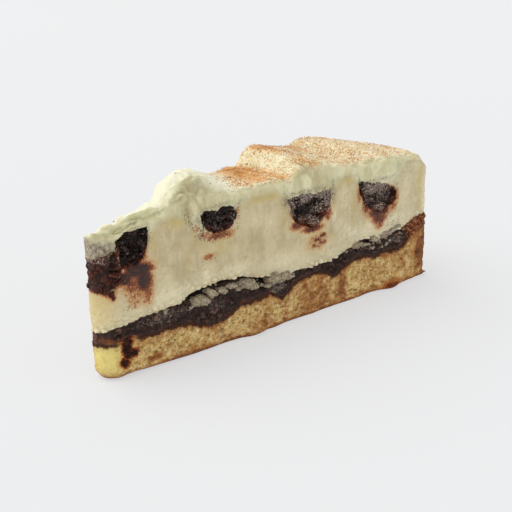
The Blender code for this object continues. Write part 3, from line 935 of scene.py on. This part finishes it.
def cut_colour(look):
    """Cream with frosting above it, grey and stained places, dark crumb, and painted shade, glints and glow;
    and the crumb's share.
    """
    frosty = look.tints(
        (212, 206, 162), ((234, 229, 192), (3.2, 5, 0.65, (1.0, 1.0, 0.6)), (0.36, 0.64)),
        # painted shade in the hollows between the folds
        ((182, 168, 124), look.uneven("crease", (1.6, 4, 0.7, UPRIGHT, 1.0)), None, 0.8))
    greys = look.ramp((1.0, 5, 0.8), (0.38, (98, 82, 68)), (0.5, (154, 141, 120)), (0.64, (200, 190, 168)))
    base = look.tints(
        (215, 201, 162), ((193, 178, 139), (8.0, 4, 0.6), (0.35, 0.65)),
        ((234, 220, 184), (1.5, 4, 0.65, (1.0, 1.0, 0.2)), (0.5, 0.72), 0.45),
        ((190, 168, 124), (2.6, 5, 0.7), (0.5, 0.34), 0.5),
        # warm yellow, and the painted glow round the nose
        ((206, 183, 110), look.uneven("warm_and_glow", (2.4, 4, 0.6, UPRIGHT, 0.9))),
        ((236, 226, 192), look.uneven("pale", (1.2, 4, 0.7, 1.4))),
        (frosty, look.uneven("frost", (1.3, 4, 0.7, 0.6))),
        (greys, look.uneven("grey", (2.2, 5, 0.7, 1.0))),
        ((150, 122, 84), look.cells(2.6), (0.13, 0.05), 0.3))
    density = look.times(look.uneven("speck", (1.6, 3, 0.7, 0.8)), 0.12)
    specks = look.rise(look.plus(look.noise(0.42, 2, 0.7), density), 0.6, 0.69)
    specks = look.times(specks, look.rise(look.mask("speck"), 0.02, 0.2))
    base = look.tint(stained(look, base), (84, 56, 38), specks, weight=0.75)
    glint = look.plus(look.noise(0.62, 3, 0.75), look.times(look.mask("glint"), 0.24))
    # grey of the crumb and of its painted glints
    ash_and_glint = look.ramp((0.5, 3, 0.75), (0.38, (92, 72, 62)), (0.5, (150, 130, 118)), (0.62, (216, 202, 190)))
    crumb = look.tints(
        look.ramp((1.2, 4, 0.8), (0.36, (9, 6, 5)), (0.5, (30, 18, 15)), (0.64, (76, 52, 42))),
        ((96, 38, 16), look.uneven("rust", (1.1, 4, 0.7, 1.4))), (ash_and_glint, glint, (0.62, 0.73), 0.92),
        # painted shade, near black, in the crevices of the crumb
        ((5, 3, 3), look.mask("painted_crevice_shade"), (0.3, 1.0), 0.85))
    share = look.rise(look.uneven("crumb", (1.0, 4, 0.75, 1.0), (0.4, 2, 0.7, 1.0)), 0.3, 0.72)
    return look.mix(share, base, crumb), share


def soft_finish(look, base, share):
    """The sheen and fine relief of cream, frosting and wet crumb."""
    look.set(Base_Color=base, Roughness=look.plus(0.5, look.times(share, -0.1)),
             Specular_IOR_Level=look.plus(0.42, look.times(share, -0.2)),
             Subsurface_Weight=look.times(look.maths("SUBTRACT", 1.0, share), 0.3),
             Subsurface_Scale=0.003, Subsurface_Radius=(1.0, 0.75, 0.42))
    look.relief(((1.2, 5, 0.65), 0.5, 0.35), ((0.32, 2, 0.6), 0.4, 0.14))
    return look.material


def cut_look(name):
    look = Look(name)
    return soft_finish(look, *cut_colour(look))


def frosting_look():
    look = Look("frosting")
    base, share = cut_colour(look)
    streaks = look.noise(2.2, 4, 0.65, (1.0, 1.0, 0.25))
    powder = look.uneven("dust", (3.0, 4, 0.7, 0.9))
    seen = look.rise(look.plus(look.grains(0.55), look.times(powder, 0.22)), 0.58, 0.66)
    seen = look.times(seen, look.rise(look.mask("dust"), 0.0, 0.06))
    powder_colour = look.ramp(look.plus(look.grains(0.9), look.times(powder, 0.12)),
                              (0.4, (116, 82, 38)), (0.52, (182, 128, 62)), (0.68, (226, 160, 80)))
    top = look.tints(
        (243, 236, 204), ((228, 216, 174), (4.0, 4, 0.6), (0.36, 0.64)),
        ((242, 242, 218), look.mask("white")),
        ((178, 176, 134), look.uneven("shade", (streaks, 1.6), (1.2, 3, 0.7, 0.6))),
        # painted shade in the hollows of the rolled near flanks of the ridges
        ((182, 170, 122), look.uneven("crease", (streaks, 1.0), (0.9, 3, 0.7, 0.5)), None, 0.75),
        ((228, 158, 74), powder, (0.1, 1.0), 0.55), (powder_colour, seen, None, 0.85),
        ((108, 88, 44), look.cells(2.1), (0.15, 0.06), 0.8))
    return soft_finish(look, look.tint(base, top, look.uneven("top", (1.4, 3, 0.6, 0.7))), share)


def sponge_look():
    look = Look("sponge")
    fine, finer = look.noise(1.3, 5, 0.8), look.noise(0.55, 3, 0.75)
    mottled = look.noise(2.8, 5, 0.75, (0.6, 0.6, 1.0))
    browned = look.uneven("brown", (3.0, 5, 0.8, 1.7), (finer, 0.9))
    crust = look.ramp(browned, (0.0, (200, 150, 88)), (0.35, (176, 110, 56)), (0.7, (130, 66, 32)),
                      (1.0, (58, 30, 18)))
    soaked = look.uneven("soaked", (2.4, 4, 0.7, 1.6), (finer, 1.2))
    base = look.tints(
        (246, 216, 146), ((218, 174, 106), (7.0, 5, 0.65), (0.38, 0.62)),
        ((172, 124, 64), mottled, (0.5, 0.36), 0.75), ((248, 230, 170), mottled, (0.54, 0.66), 0.5),
        ((252, 236, 184), fine, (0.52, 0.64), 0.85), ((150, 104, 50), fine, (0.48, 0.38), 0.9),
        # the darker brown in the pores is painted shade
        ((118, 78, 38), finer, (0.46, 0.36), 0.75), ((120, 82, 40), look.mask("pore_shade"), (0.2, 0.85), 0.36),
        # the pale yellow is the painted glow of the nose
        (crust, browned, (0.06, 0.55), 0.9), ((248, 228, 144), look.mask("pale")),
        (look.mix(finer, (34, 18, 13), (96, 56, 34)), soaked, (0.25, 0.6)))
    look.set(Base_Color=stained(look, base), Roughness=0.85, Subsurface_Weight=0.2, Subsurface_Scale=0.002,
             Subsurface_Radius=(1.0, 0.6, 0.3), Specular_IOR_Level=0.25)
    look.relief((fine, 0.9, 0.7), (finer, 0.6, 0.25))
    return look.material


def filling_look():
    look = Look("cinnamon_filling")
    fine = look.noise(0.9, 5, 0.8)
    crust = look.tints(
        look.ramp((1.3, 5, 0.85), (0.38, (52, 26, 17)), (0.46, (116, 56, 28)), (0.55, (176, 100, 52)),
                  (0.64, (218, 152, 94))),
        ((54, 26, 16), fine, (0.5, 0.4), 0.8), ((228, 172, 118), fine, (0.54, 0.64), 0.7))
    glint = look.uneven("glint", (1.0, 4, 0.8, 1.8), (0.4, 2, 0.7, 1.8))
    base = look.tints(
        look.ramp((1.3, 5, 0.8), (0.36, (18, 10, 9)), (0.5, (46, 26, 21)), (0.64, (86, 52, 40))),
        ((116, 76, 54), fine, (0.54, 0.68), 0.7),
        # lighter brown on some lumps: partly their own tone, partly a painted highlight on their tops
        ((120, 86, 66), look.uneven("lump", (fine, 2.0)), (0.4, 1.2)),
        ((150, 80, 38), look.uneven("rust", (fine, 1.2))), ((164, 146, 132), glint, (0.5, 0.9), 0.75),
        (crust, look.uneven("crust", (3.0, 5, 0.8, 1.8), (fine, 0.8)), (0.2, 0.7)),
        # painted shadow, near black, in the cracks and between the lumps
        ((6, 4, 3), look.mask("painted_crevice_shade"), (0.1, 0.9)))
    look.set(Base_Color=base, Roughness=0.55, Specular_IOR_Level=0.35)
    look.relief((fine, 0.9, 0.6), ((0.3, 2, 0.6), 0.5, 0.15))
    return look.material


def dust_look():
    look = Look("ground_cinnamon")
    base = look.ramp((2.0, 3, 0.7), (0.3, (136, 80, 28)), (0.5, (198, 126, 52)), (0.7, (224, 166, 86)))
    look.set(Base_Color=base, Roughness=0.8)
    look.relief(((0.2,), 0.4, 0.05))
    return look.material


def stage_look():
    """A floor that gives off some light, so that it shows as little shadow as the photo does."""
    look = Look("pale_floor")
    look.set(Base_Color=look.tint((148, 151, 156), (150, 153, 158), (400.0, 2)), Roughness=0.9,
             Specular_IOR_Level=0.1, Emission_Color=rgb(239, 239, 240), Emission_Strength=0.61)
    return look.material


# Layers

SPONGE_BROWN = (
    (71, 7.6, 10, 6, 0.44), (82.5, 6, 3, 6, 0.56), (70, 2.4, 10, 2, 0.5), (96, 8, 6, 5, 0.3),
    (101, 13, 6, 2, 0.5), (42, 10, 6, 4, 0.26), (104.5, 1.2, 5, 2.2, 0.9), (112, 8, 6, 6, 0.3),
    (118.6, 10, 2.6, 9, 0.72), (11, 3.4, 5, 1.5, 0.5), (50, 3, 9, 2.4, 0.36), (36, 2.4, 6, 1.5, 0.32),
    (60, 4, 4, 3, 0.26), (92, 13, 8, 2, 0.34), (24, 2.2, 6, 1.2, 0.34), (58, 8, 2.6, 2.2, 0.4),
    (34, 7.6, 4, 1.6, 0.5),
)
SPILL = (
    (3.6, 8.6, 1.9, 3.6, 1.2), (5.2, 7.2, 2.2, 1.5, 1.05), (2.6, 4.8, 1.6, 1.9, 1.1), (3.6, 12, 2.6, 2, 1),
    (4.2, 10.2, 1.6, 1.8, 1), (104.6, 0.8, 5.4, 2.6, 0.75), (-3, 12.2, 3.6, 1, 0.7),
)
# Painted glow: the sponge of the thin nose made pale yellow, as if light came through it
NOSE_GLOW = ((-2.8, 6, 6, 5, 1.1),)
TORN_FLAKE = ((120.4, 0.8, 2, 0.5, 1),)
# Cracks under the cream: set back in the relief, and painted dark as the shadow in them
CRACKS = (
    (26.2, 18.7, 3.8, 1.7, 1), (35, 20, 7, 0.8, 0.9), (45.5, 19.8, 5, 1.3, 1), (50, 17.6, 2.8, 2.4, 1),
    (50.6, 14.6, 1.6, 1.6, 0.8), (60, 17, 2.4, 0.7, 0.7), (88, 19.4, 5, 1, 0.8), (104.5, 21, 4, 0.8, 0.7),
    (112, 18, 3, 2.4, 0.6), (96, 18.6, 5, 1.4, 0.6), (18, 17.4, 6, 0.7, 0.6),
)
FAR_CRACKS = ((36, 18, 8, 1.4, 0.9), (76, 16.6, 6, 1.3, 0.9), (104, 19.6, 4, 1.2, 0.7))
FILLING_RUST = ((-6.4, 12.6, 1.8, 2, 0.7), (-2, 12, 3, 0.8, 0.6))
FILLING_CRUST = ((117, 20, 5, 5, 1),)
FILLING_GLINTS = (
    (15, 14.6, 11, 2.6, 0.66), (33, 13.4, 5, 2.4, 0.6), (56, 12.8, 5, 2.2, 0.8), (108, 16.6, 6, 2, 0.7),
    (94, 17.4, 6, 1.6, 0.55), (72, 14.4, 8, 1.2, 0.35),
)
FAR_GLINTS = ((30, 14, 8, 2, 0.5), (80, 14, 9, 2, 0.5))
# Where dust lies over the rings: crest, inner and outer reach, then its thickness at the near
# face, how much more lies farther off, and between which shares of the way across it grows.
DUSTED = (
    (53, 19, 10, 0.8, 0.4, 0.1, 0.7), (71, 6, 9, 0.5, 0.75, 0.4, 0.8),
    (84, 9, 10, 0.35, 0.6, 0.4, 0.9), (65, 3, 6, 0.12, 0, 0, 1),
)
DUST_CREASE = (60.4, 2.8)


def rounded_foot(skin):
    """Draws the lower edge in, more so towards the nose, as in the solid."""
    share = smooth_step(1 - skin.ring / NOSE_FOOT_FADE)
    depth = FOOT_ROUNDING + NOSE_FOOT_ROUNDING * share
    tall = FOOT_HEIGHT + NOSE_FOOT_HEIGHT * share
    low = np.clip(1 - skin.height / tall, 0, 1)
    curve = 1 - np.sqrt(np.maximum(1 - low ** 2, 0))
    half_width = skin.radius * math.sin(HALF_ANGLE)
    drawn = np.minimum(depth, 0.6 * half_width) * curve * (skin.outer | (skin.lift < 0.001))
    at_nose = smooth_step(1 - skin.ring / NOSE_FADE)
    at_rim = smooth_step(1 - (CUT_LENGTH - skin.ring) / 2)
    skin.points[:, 0] += drawn * (at_nose - at_rim)
    skin.points[:, 1] -= drawn * skin.across


def base_crumb(points):
    """Torn crumb of sponge and filling, alike where they meet."""
    return 0.5 * rough(points, 3.0, 80, octaves=4, fade=0.65) + 0.2 * rough(points, 1.0, 84, octaves=2)


def sponge():
    skin = layer_skin(lambda ring, across: 0.0 * ring, torn_sponge_top)
    solid_relief(skin)
    rounded_foot(skin)
    nearest, _, number = cells(skin.points, (1.7, 1.7, 1.1), seed=60)
    pores = between(0.56, 0.14, nearest + 0.16 * rough(skin.points, 0.8, 61)) * (number > 0.45)
    edge = skin.outer * between(0.0, 1.0, skin.height)
    edge = edge * np.where(skin.nose, 0.5, 1.0)
    push(skin, edge * (base_crumb(skin.points) - 0.55 * pores), level=skin.outer)
    flake = skin.patches(TORN_FLAKE)
    skin.points[:, 0] += FLAKE["out"] * flake
    skin.points[:, 2] = np.maximum(skin.points[:, 2], 0.0)
    under = np.exp(-(skin.height / 1.7) ** 1.5)
    below = np.maximum(torn_sponge_top(skin.ring, skin.across) - skin.height, 0)
    outside = np.exp(-(CUT_LENGTH - skin.ring) / 2.2)
    patchy = 0.36 * between(0.0, 0.7, rough(skin.points, 9.0, 85)) * between(20.0, 60.0, skin.along)
    brown = np.maximum.reduce([0.95 * under, 0.75 * np.exp(-below / 2.0), 0.66 * outside, patchy,
                               skin.patches(SPONGE_BROWN), 1.3 * flake])
    # painted glow at the nose, kept off the browned underside
    pale = skin.patches(NOSE_GLOW) * (1 - under)
    return made("slice_sponge", skin, sponge_look(), {
        # the pore mask also paints shade into the pores
        "brown": brown, "pore_shade": pores, "pale": pale, "stain": skin.patches(SPILL),
        "soaked": skin.outer * np.exp(-(below / 1.3) ** 1.5) * between(116.0, 109.0, skin.ring)})


def filling():
    skin = layer_skin(torn_sponge_top, torn_filling_top)
    solid_relief(skin)
    lumps, number = clods(warped(skin.points, 1.4, 1.3, 91), (2.3, 2.3, 1.7), 90)
    above = skin.height - torn_sponge_top(skin.ring, skin.across)
    held = between(0.0, 1.2, above)
    crack = skin.patches(CRACKS, FAR_CRACKS)
    rim = between(109.0, 115.0, skin.ring)
    relief = base_crumb(skin.points) + held * (0.8 * lumps * (0.3 + number) - 0.5) - 2.2 * crack
    relief = relief + 0.7 * rough(skin.points, 1.6, 98) * (0.4 + rim) + 0.5 * rim
    push(skin, skin.outer * relief * np.where(skin.nose, 0.5, 1.0), level=skin.outer)
    crust = np.maximum(np.exp(-((CUT_LENGTH - skin.ring) / 6.5) ** 3), skin.patches(FILLING_CRUST))
    underneath = np.exp(-(above / 0.7) ** 1.5) * between(0.0, 0.6, rough(skin.points, 3.0, 97))
    # painted shadow in the cracks and in the crevices between the lumps
    painted_crevice_shade = np.maximum(between(0.25, 0.8, crack), 0.5 * held * between(0.4, 0.0, lumps))
    return made("slice_filling", skin, filling_look(), {
        # lighter lump tops: each lump's own tone, and a painted highlight
        "lump": held * between(0.4, 1.0, number) * lumps * skin.outer,
        "rust": np.maximum(skin.patches(FILLING_RUST), 0.3 * underneath),
        "crust": crust * skin.outer, "painted_crevice_shade": painted_crevice_shade * (1 - crust),
        "glint": np.maximum(skin.patches(FILLING_GLINTS, FAR_GLINTS), 0.24 * skin.outer)})


def cream():
    skin = layer_skin(torn_filling_top, groove_floor)
    solid_relief(skin)
    relief, masks = cut_face(skin)
    above = skin.height - filling_top(skin.ring, skin.across)
    reach = 3.4 + 3.0 * waves(skin.points * (1, 1, 0), 11.0, 101)
    torn = smooth_step(1 - above / np.maximum(reach, 0.8))
    nearest, second, number = cells(skin.points, (1.9, 1.9, 1.4), seed=110)
    curds = between(0.02, 0.5, second - nearest) * (0.4 + number)
    strokes = 0.5 * np.abs(waves(warped(skin.points, 4.0, 1.5, 112), (2.2, 2.2, 5.0), 113))
    strokes = strokes * between(30.0, 20.0, skin.height) * between(-0.3, 0.5, waves(skin.points, 14.0, 114))
    smear = skin.patches(SMEARS)
    loose = warped(skin.points, 3.0, 2.0, 115)
    curls = 0.8 * np.abs(waves(loose, 2.2, 116)) + 0.6 * np.abs(waves(loose, 1.1, 117))
    strokes = strokes + smear * curls
    push(skin, relief + skin.outer * (torn * (0.9 * curds - 0.35) + strokes), level=skin.outer)
    low = 0.4 * between(27, 20, skin.height) + 0.25 * between(84, 96, skin.along)
    masks["pale"] = np.clip(torn * 0.6 * curds + low + smear * (0.3 + curls), 0, 1) * skin.outer
    edge = 0.22 * between(0.3, 1.0, rough(skin.points, 1.6, 111) + np.exp(-above / 0.5)) * (above < 2.0)
    masks["stain"] = np.maximum(masks["stain"], edge * skin.outer)
    return made("slice_cream", skin, cut_look("cheesecake_cream"), masks)


def swirl(name, look):
    """Wet crumb in one groove: dark lumps, set back a little in the cut faces."""
    groove = GROOVES[name]
    first, last = groove["crumb"]

    def low(ring, across):
        return groove_floor(ring, across) - SWIRL_UNDERLAP

    def high(ring, across):
        share = crumb_share(ring, across, groove)
        level = frosting_bottom(ring, across) + SWIRL_OVERLAP
        least = low(ring, across) + SWIRL_OVERLAP
        return least + np.maximum(level - low(ring, across) - SWIRL_OVERLAP, 0) * share

    skin = layer_skin(low, high, max(first - 1.0, 0.0), last + 1.0, SWIRL_COLUMNS, step=SWIRL_STEP)
    walls = skin.face_walls | skin.nose
    relief, masks = cut_face(skin)
    push(skin, relief * walls, level=walls)
    return made("slice_" + name, skin, look, masks)


def dust_mask(skin):
    """How thickly the ground cinnamon lies on the frosting."""
    share = far_share(skin.across)
    middle, width = DUST_CREASE
    crease = np.exp(-((skin.ring - middle) / width) ** 2) * between(-0.5, 0.3, share)
    outer = between(72.0, 82.0, skin.ring) * (0.34 - 0.1 * between(104.0, 119.0, skin.ring))
    total = np.maximum.reduce([crease, outer] + [
        hump(skin.ring, *form) * (least + more * between(low, high, share))
        for *form, least, more, low, high in DUSTED])
    ragged_edge = from_cut(skin) + 0.8 * rough(skin.points, 2.6, 181)
    near_band = np.where(skin.across < 0, between(2.6, 0.8, ragged_edge), between(0.8, 0.2, ragged_edge))
    return total * (skin.lift > 0.999) * (1 - 0.9 * near_band)


def frosting_underside(ring, across):
    """The frosting's lower side, a little into what is under it, most so on the steep groove walls."""
    depth = sum(np.maximum(groove_depth(ring, groove), 0) for groove in GROOVES.values())
    grooved = smooth_step(depth / STEEP_DEPTH)
    return frosting_bottom(ring, across) - FROSTING_UNDERLAP - STEEP_UNDERLAP * grooved


def frosting():
    skin = layer_skin(frosting_underside, frosting_top, fine_top=True)
    solid_relief(skin)
    top = skin.lift > 0.999
    depth = frosting_top(skin.ring, skin.across) - skin.height
    ridge = on_ridge(skin)
    near = skin.across < 0
    tip = between(24.0, 14.0, skin.ring)
    radius = np.where(near, 1.8 + 4.6 * ridge + 1.8 * tip * (1 - ridge), 1.5 + 1.5 * ridge)
    radius = radius + 0.7 * waves(skin.points * (1, 0, 0), 4.0, 171)
    radius = np.minimum(radius, 0.8 * HALF_ANGLE * skin.radius)
    relief, masks = cut_face(skin)
    dust = dust_mask(skin)
    rolled = np.where(top, smooth_step(1 - from_cut(skin) / radius), smooth_step(1 - depth / radius))
    loose = warped(skin.points, 4.0, 1.5, 176)
    lumps = 0.7 * np.abs(waves(loose, 5.0, 172)) + 0.45 * np.abs(waves(loose, 2.6, 173))
    first_ridge = hump(skin.ring, 25.0, 12.0, 12.0)
    inner = np.maximum(first_ridge, 0.75 * between(20.0, 8.0, skin.ring))
    folds = np.abs(waves(loose, (2.8, 2.8, 12.0), 177)) * rolled * near
    swept = (lumps - 0.35) * (0.4 + 1.5 * inner + 1.1 * rolled * near) + 1.4 * folds * ridge
    swept = swept + 0.4 * rough(skin.points, 4.0, 170, octaves=4)
    roll_edge(skin, radius)
    soften(skin, np.clip(rolled * 1.3, 0, 1) * (skin.lift > 0.3), 10)
    push(skin, np.where(top, swept, relief * (1 - rolled) + skin.outer * (rolled * swept + 0.04)),
         level=skin.outer & (depth > radius))
    masks["top"] = np.where(top, 1 - 0.5 * rolled * near * ridge, between(1.6, 0.2, depth) * 0.7)
    masks["top"] = masks["top"] * (1 - 0.9 * np.minimum(masks["grey"], 1))
    uneven = rough(skin.points, 5.0, 175, octaves=4)
    masks["shade"] = np.maximum(first_ridge * between(0.6, -0.5, skin.across + 0.5 * uneven),
                                (0.3 + 0.35 * ridge) * rolled * near) * (0.85 + 0.5 * uneven)
    masks["shade"] = np.maximum(masks["shade"], 0.95 * tip * between(0.5, -0.4, skin.across + 0.9 * uneven))
    masks["white"] = between(50.0, 36.0, skin.ring) * (0.9 + 0.4 * uneven)
    masks["dust"] = dust
    # painted shade in the hollows between folds and lumps on the ridges' near flanks
    hollow_shade = rolled * near * ridge * np.clip(1.1 - 1.3 * folds - 0.9 * lumps, 0, 1)
    masks["crease"] = np.where(top, hollow_shade, masks["crease"])
    return made("slice_frosting", skin, frosting_look(), masks)


# Crumbs

NUGGETS = (
    (27.4, 16, 2.7, 1.4), (31.4, 17.6, 2.4, 1.3), (35.4, 17.4, 2.2, 1.1), (30.4, 15.4, 1.2, 0.7),
    (38.6, 17.9, 1.8, 1), (43.6, 17.2, 3, 1.2), (46.6, 15.9, 2, 1.1), (41, 16.2, 1.2, 0.8),
    (54.2, 16.2, 2.8, 1.6), (57.8, 15.7, 2.6, 1.3), (52.6, 14.6, 1.3, 0.8), (61, 15.2, 1.7, 0.8),
    (89.4, 18.5, 1.9, 0.8), (92.4, 18, 1.2, 0.6), (97.2, 19, 1.9, 0.9), (101.6, 19.7, 2.9, 1.1),
    (105.6, 20.6, 2.3, 0.9), (24.4, 14.8, 1, 0.6), (108.6, 21.2, 1.3, 0.6), (99.2, 17.4, 0.8, 0.5),
)
SMALL_NUGGETS = 60
NUGGET_DEPTH = 0.6
GRAINS = 5200
GRAIN_TRIALS = 12 * GRAINS


def on_near_face(along, height, out):
    """A place on the near cut face, in mm, standing out of it by the given amount."""
    direction = np.array([math.cos(HALF_ANGLE), -math.sin(HALF_ANGLE), 0.0])
    outwards = np.array([-math.sin(HALF_ANGLE), -math.cos(HALF_ANGLE), 0.0])
    corner = np.array([APEX_X, 0.0, 0.0]) + direction * (NOSE_RADIUS + along)
    return corner + outwards * out + np.array([0.0, 0.0, height])


def pebble(fineness):
    ball = bmesh.new()
    bmesh.ops.create_icosphere(ball, subdivisions=fineness, radius=1.0)
    points = np.array([tuple(vertex.co) for vertex in ball.verts])
    faces = [[vertex.index for vertex in face.verts] for face in ball.faces]
    ball.free()
    return points, faces


class Pile:
    """Many small pieces gathered into one mesh."""

    def __init__(self):
        self.parts, self.faces, self.count = [], [], 0

    def add(self, points, faces):
        self.parts.append(points)
        self.faces += [[corner + self.count for corner in face] for face in faces]
        self.count += len(points)

    @property
    def points(self):
        return np.concatenate(self.parts)


def cream_crumbs(look):
    """Torn crumbs of the cheesecake that lie on the dark filling of the near face."""
    chance = np.random.default_rng(31)
    pile = Pile()
    ball, faces = pebble(4)
    small, small_faces = pebble(2)
    sizes = [(along, height, length, tall, ball, faces) for along, height, length, tall in NUGGETS]
    for _ in range(SMALL_NUGGETS):
        along = chance.choice((chance.uniform(13, 62), chance.uniform(84, 112)))
        spot = filling_top(np.array(along), np.array(-1.0)) - chance.uniform(0.2, 3.6)
        size = chance.uniform(0.15, 0.5)
        sizes.append((along, float(spot), size * 1.3, size, small, small_faces))
    for index, (along, height, length, tall, form, sides) in enumerate(sizes):
        place = form * (length, 1.0, tall) + index * 7.3
        bumps = 1 + 0.7 * rough(place, 1.8, 200, octaves=4, fade=0.65)
        bumps = bumps + 0.2 * clods(place, 0.8, 210)[0] + 0.12 * rough(place, 0.5, 201)
        shaped = form * bumps[:, None] * (length, 0.95 * min(length, tall * 1.6), tall)
        turn = Matrix.Rotation(-HALF_ANGLE, 3, "Z") @ Matrix.Rotation(chance.uniform(-0.4, 0.4), 3, "Y")
        placed = shaped @ np.array(turn).T + on_near_face(along, height, -NUGGET_DEPTH)
        pile.add(placed, sides)
    crumb = 0.8 * between(0.05, 0.8, rough(pile.points, 1.3, 220, octaves=4))
    grey = 0.8 + 0.2 * between(-0.3, 0.5, rough(pile.points, 2.2, 221))
    return made("cream_crumbs", pile, look, {"crumb": crumb, "grey": grey, "speck": np.full(len(grey), 0.3)})


def dust_grains(look):
    """Grains of ground cinnamon on the frosting, thick where its mask is."""
    chance = np.random.default_rng(41)
    pile = Pile()
    octahedron = np.array([(1, 0, 0), (-1, 0, 0), (0, 1, 0), (0, -1, 0), (0, 0, 1), (0, 0, -1)], float)
    sides = [(0, 2, 4), (2, 1, 4), (1, 3, 4), (3, 0, 4), (2, 0, 5), (1, 2, 5), (3, 1, 5), (0, 3, 5)]
    ring = chance.uniform(1, CUT_LENGTH - 0.5, GRAIN_TRIALS)
    across = chance.uniform(-0.98, 0.98, GRAIN_TRIALS)
    spot = Skin(ring, across, frosting_top(ring, across), np.ones(len(ring)))
    width = (NOSE_RADIUS + ring) / (NOSE_RADIUS + CUT_LENGTH)
    patchy = 1.0 + 0.9 * rough(spot.points, 3.0, 230)
    kept = np.nonzero(chance.uniform(0, 1.2, len(ring)) < dust_mask(spot) * width * patchy)[0][:GRAINS]
    for index in kept:
        size = chance.uniform(0.07, 0.2) * np.array([1.0, chance.uniform(0.6, 1), 0.6])
        turn = np.array(Matrix.Rotation(chance.uniform(0, math.pi), 3, "Z"))
        pile.add((octahedron * size) @ turn.T + spot.points[index], sides)
    return made("cinnamon_dust", pile, look, {})


# Stage

FLOOR_REACH = 6.0
ROOM_COLOUR = (1.0, 0.985, 0.95, 1.0)
ROOM_STRENGTH = 0.74
SUN_COLOUR = (1.0, 0.95, 0.86)
SUN_STRENGTH = 1.5
SUN_SPREAD = math.radians(70)
SUN_FROM = (-0.5, 0.8, 0.95)
CAMERA_PLACE = (-180.0, -174.2, 110.0)
VIEW_TURN = math.radians(45.70)
VIEW_DOWN = math.radians(20.0)
VIEW_ROLL = math.radians(-1.31)
LENS = 59.64


def stage():
    data = bpy.data.meshes.new("floor")
    corners = [(x * FLOOR_REACH, y * FLOOR_REACH, 0) for x, y in ((-1, -1), (1, -1), (1, 1), (-1, 1))]
    data.from_pydata(corners, [], [(0, 1, 2, 3)])
    data.materials.append(stage_look())
    shown("floor", data)


def lights():
    world = bpy.data.worlds.new("soft_room")
    bpy.context.scene.world = world
    world.use_nodes = True
    background = world.node_tree.nodes["Background"]
    background.inputs["Color"].default_value = ROOM_COLOUR
    background.inputs["Strength"].default_value = ROOM_STRENGTH
    sun = bpy.data.lights.new("window", "SUN")
    sun.energy, sun.angle, sun.color = SUN_STRENGTH, SUN_SPREAD, SUN_COLOUR
    shown("window", sun).rotation_euler = Vector(SUN_FROM).to_track_quat("Z", "Y").to_euler()
    bpy.context.scene.view_settings.view_transform = "Standard"


def camera():
    view = bpy.data.cameras.new("camera")
    view.lens, view.sensor_width, view.clip_start = LENS, 36.0, 0.01
    turn = Matrix.Rotation(-VIEW_TURN, 4, "Z")
    tilt = Matrix.Rotation(math.pi / 2 - VIEW_DOWN, 4, "X")
    roll = Matrix.Rotation(VIEW_ROLL, 4, "Z")
    holder = shown("camera", view)
    holder.matrix_world = Matrix.Translation(Vector(CAMERA_PLACE) * MM) @ turn @ tilt @ roll
    bpy.context.scene.camera = holder


def dress():
    """Makes every piece, says what it rides on, and hides the solid parts that the layers replace."""
    layers = [(sponge(), "sponge_base", "sponge"), (filling(), "cinnamon_layer", "cinnamon_filling"),
              (cream(), "cheesecake", "cheesecake"), (frosting(), "frosting", "frosting")]
    look = cut_look("cinnamon_crumb")
    layers += [(swirl(name, look), name, "cinnamon_crumb") for name in GROOVES]
    for piece, node, slot in layers:
        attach(piece, "root")
        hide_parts(node)
    crumbs = cream_crumbs(bpy.data.materials["cheesecake_cream"])
    dust = dust_grains(dust_look())
    for piece, slot in ((crumbs, "cheesecake"), (dust, "cinnamon_crumb")):
        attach(piece, "root")


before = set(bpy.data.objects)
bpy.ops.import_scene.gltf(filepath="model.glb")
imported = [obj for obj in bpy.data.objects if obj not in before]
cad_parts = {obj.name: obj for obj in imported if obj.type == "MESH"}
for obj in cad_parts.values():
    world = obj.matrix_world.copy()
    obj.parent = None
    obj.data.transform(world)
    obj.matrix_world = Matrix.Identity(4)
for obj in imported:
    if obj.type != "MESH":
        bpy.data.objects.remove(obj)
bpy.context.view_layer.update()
dress()
stage()
lights()
camera()
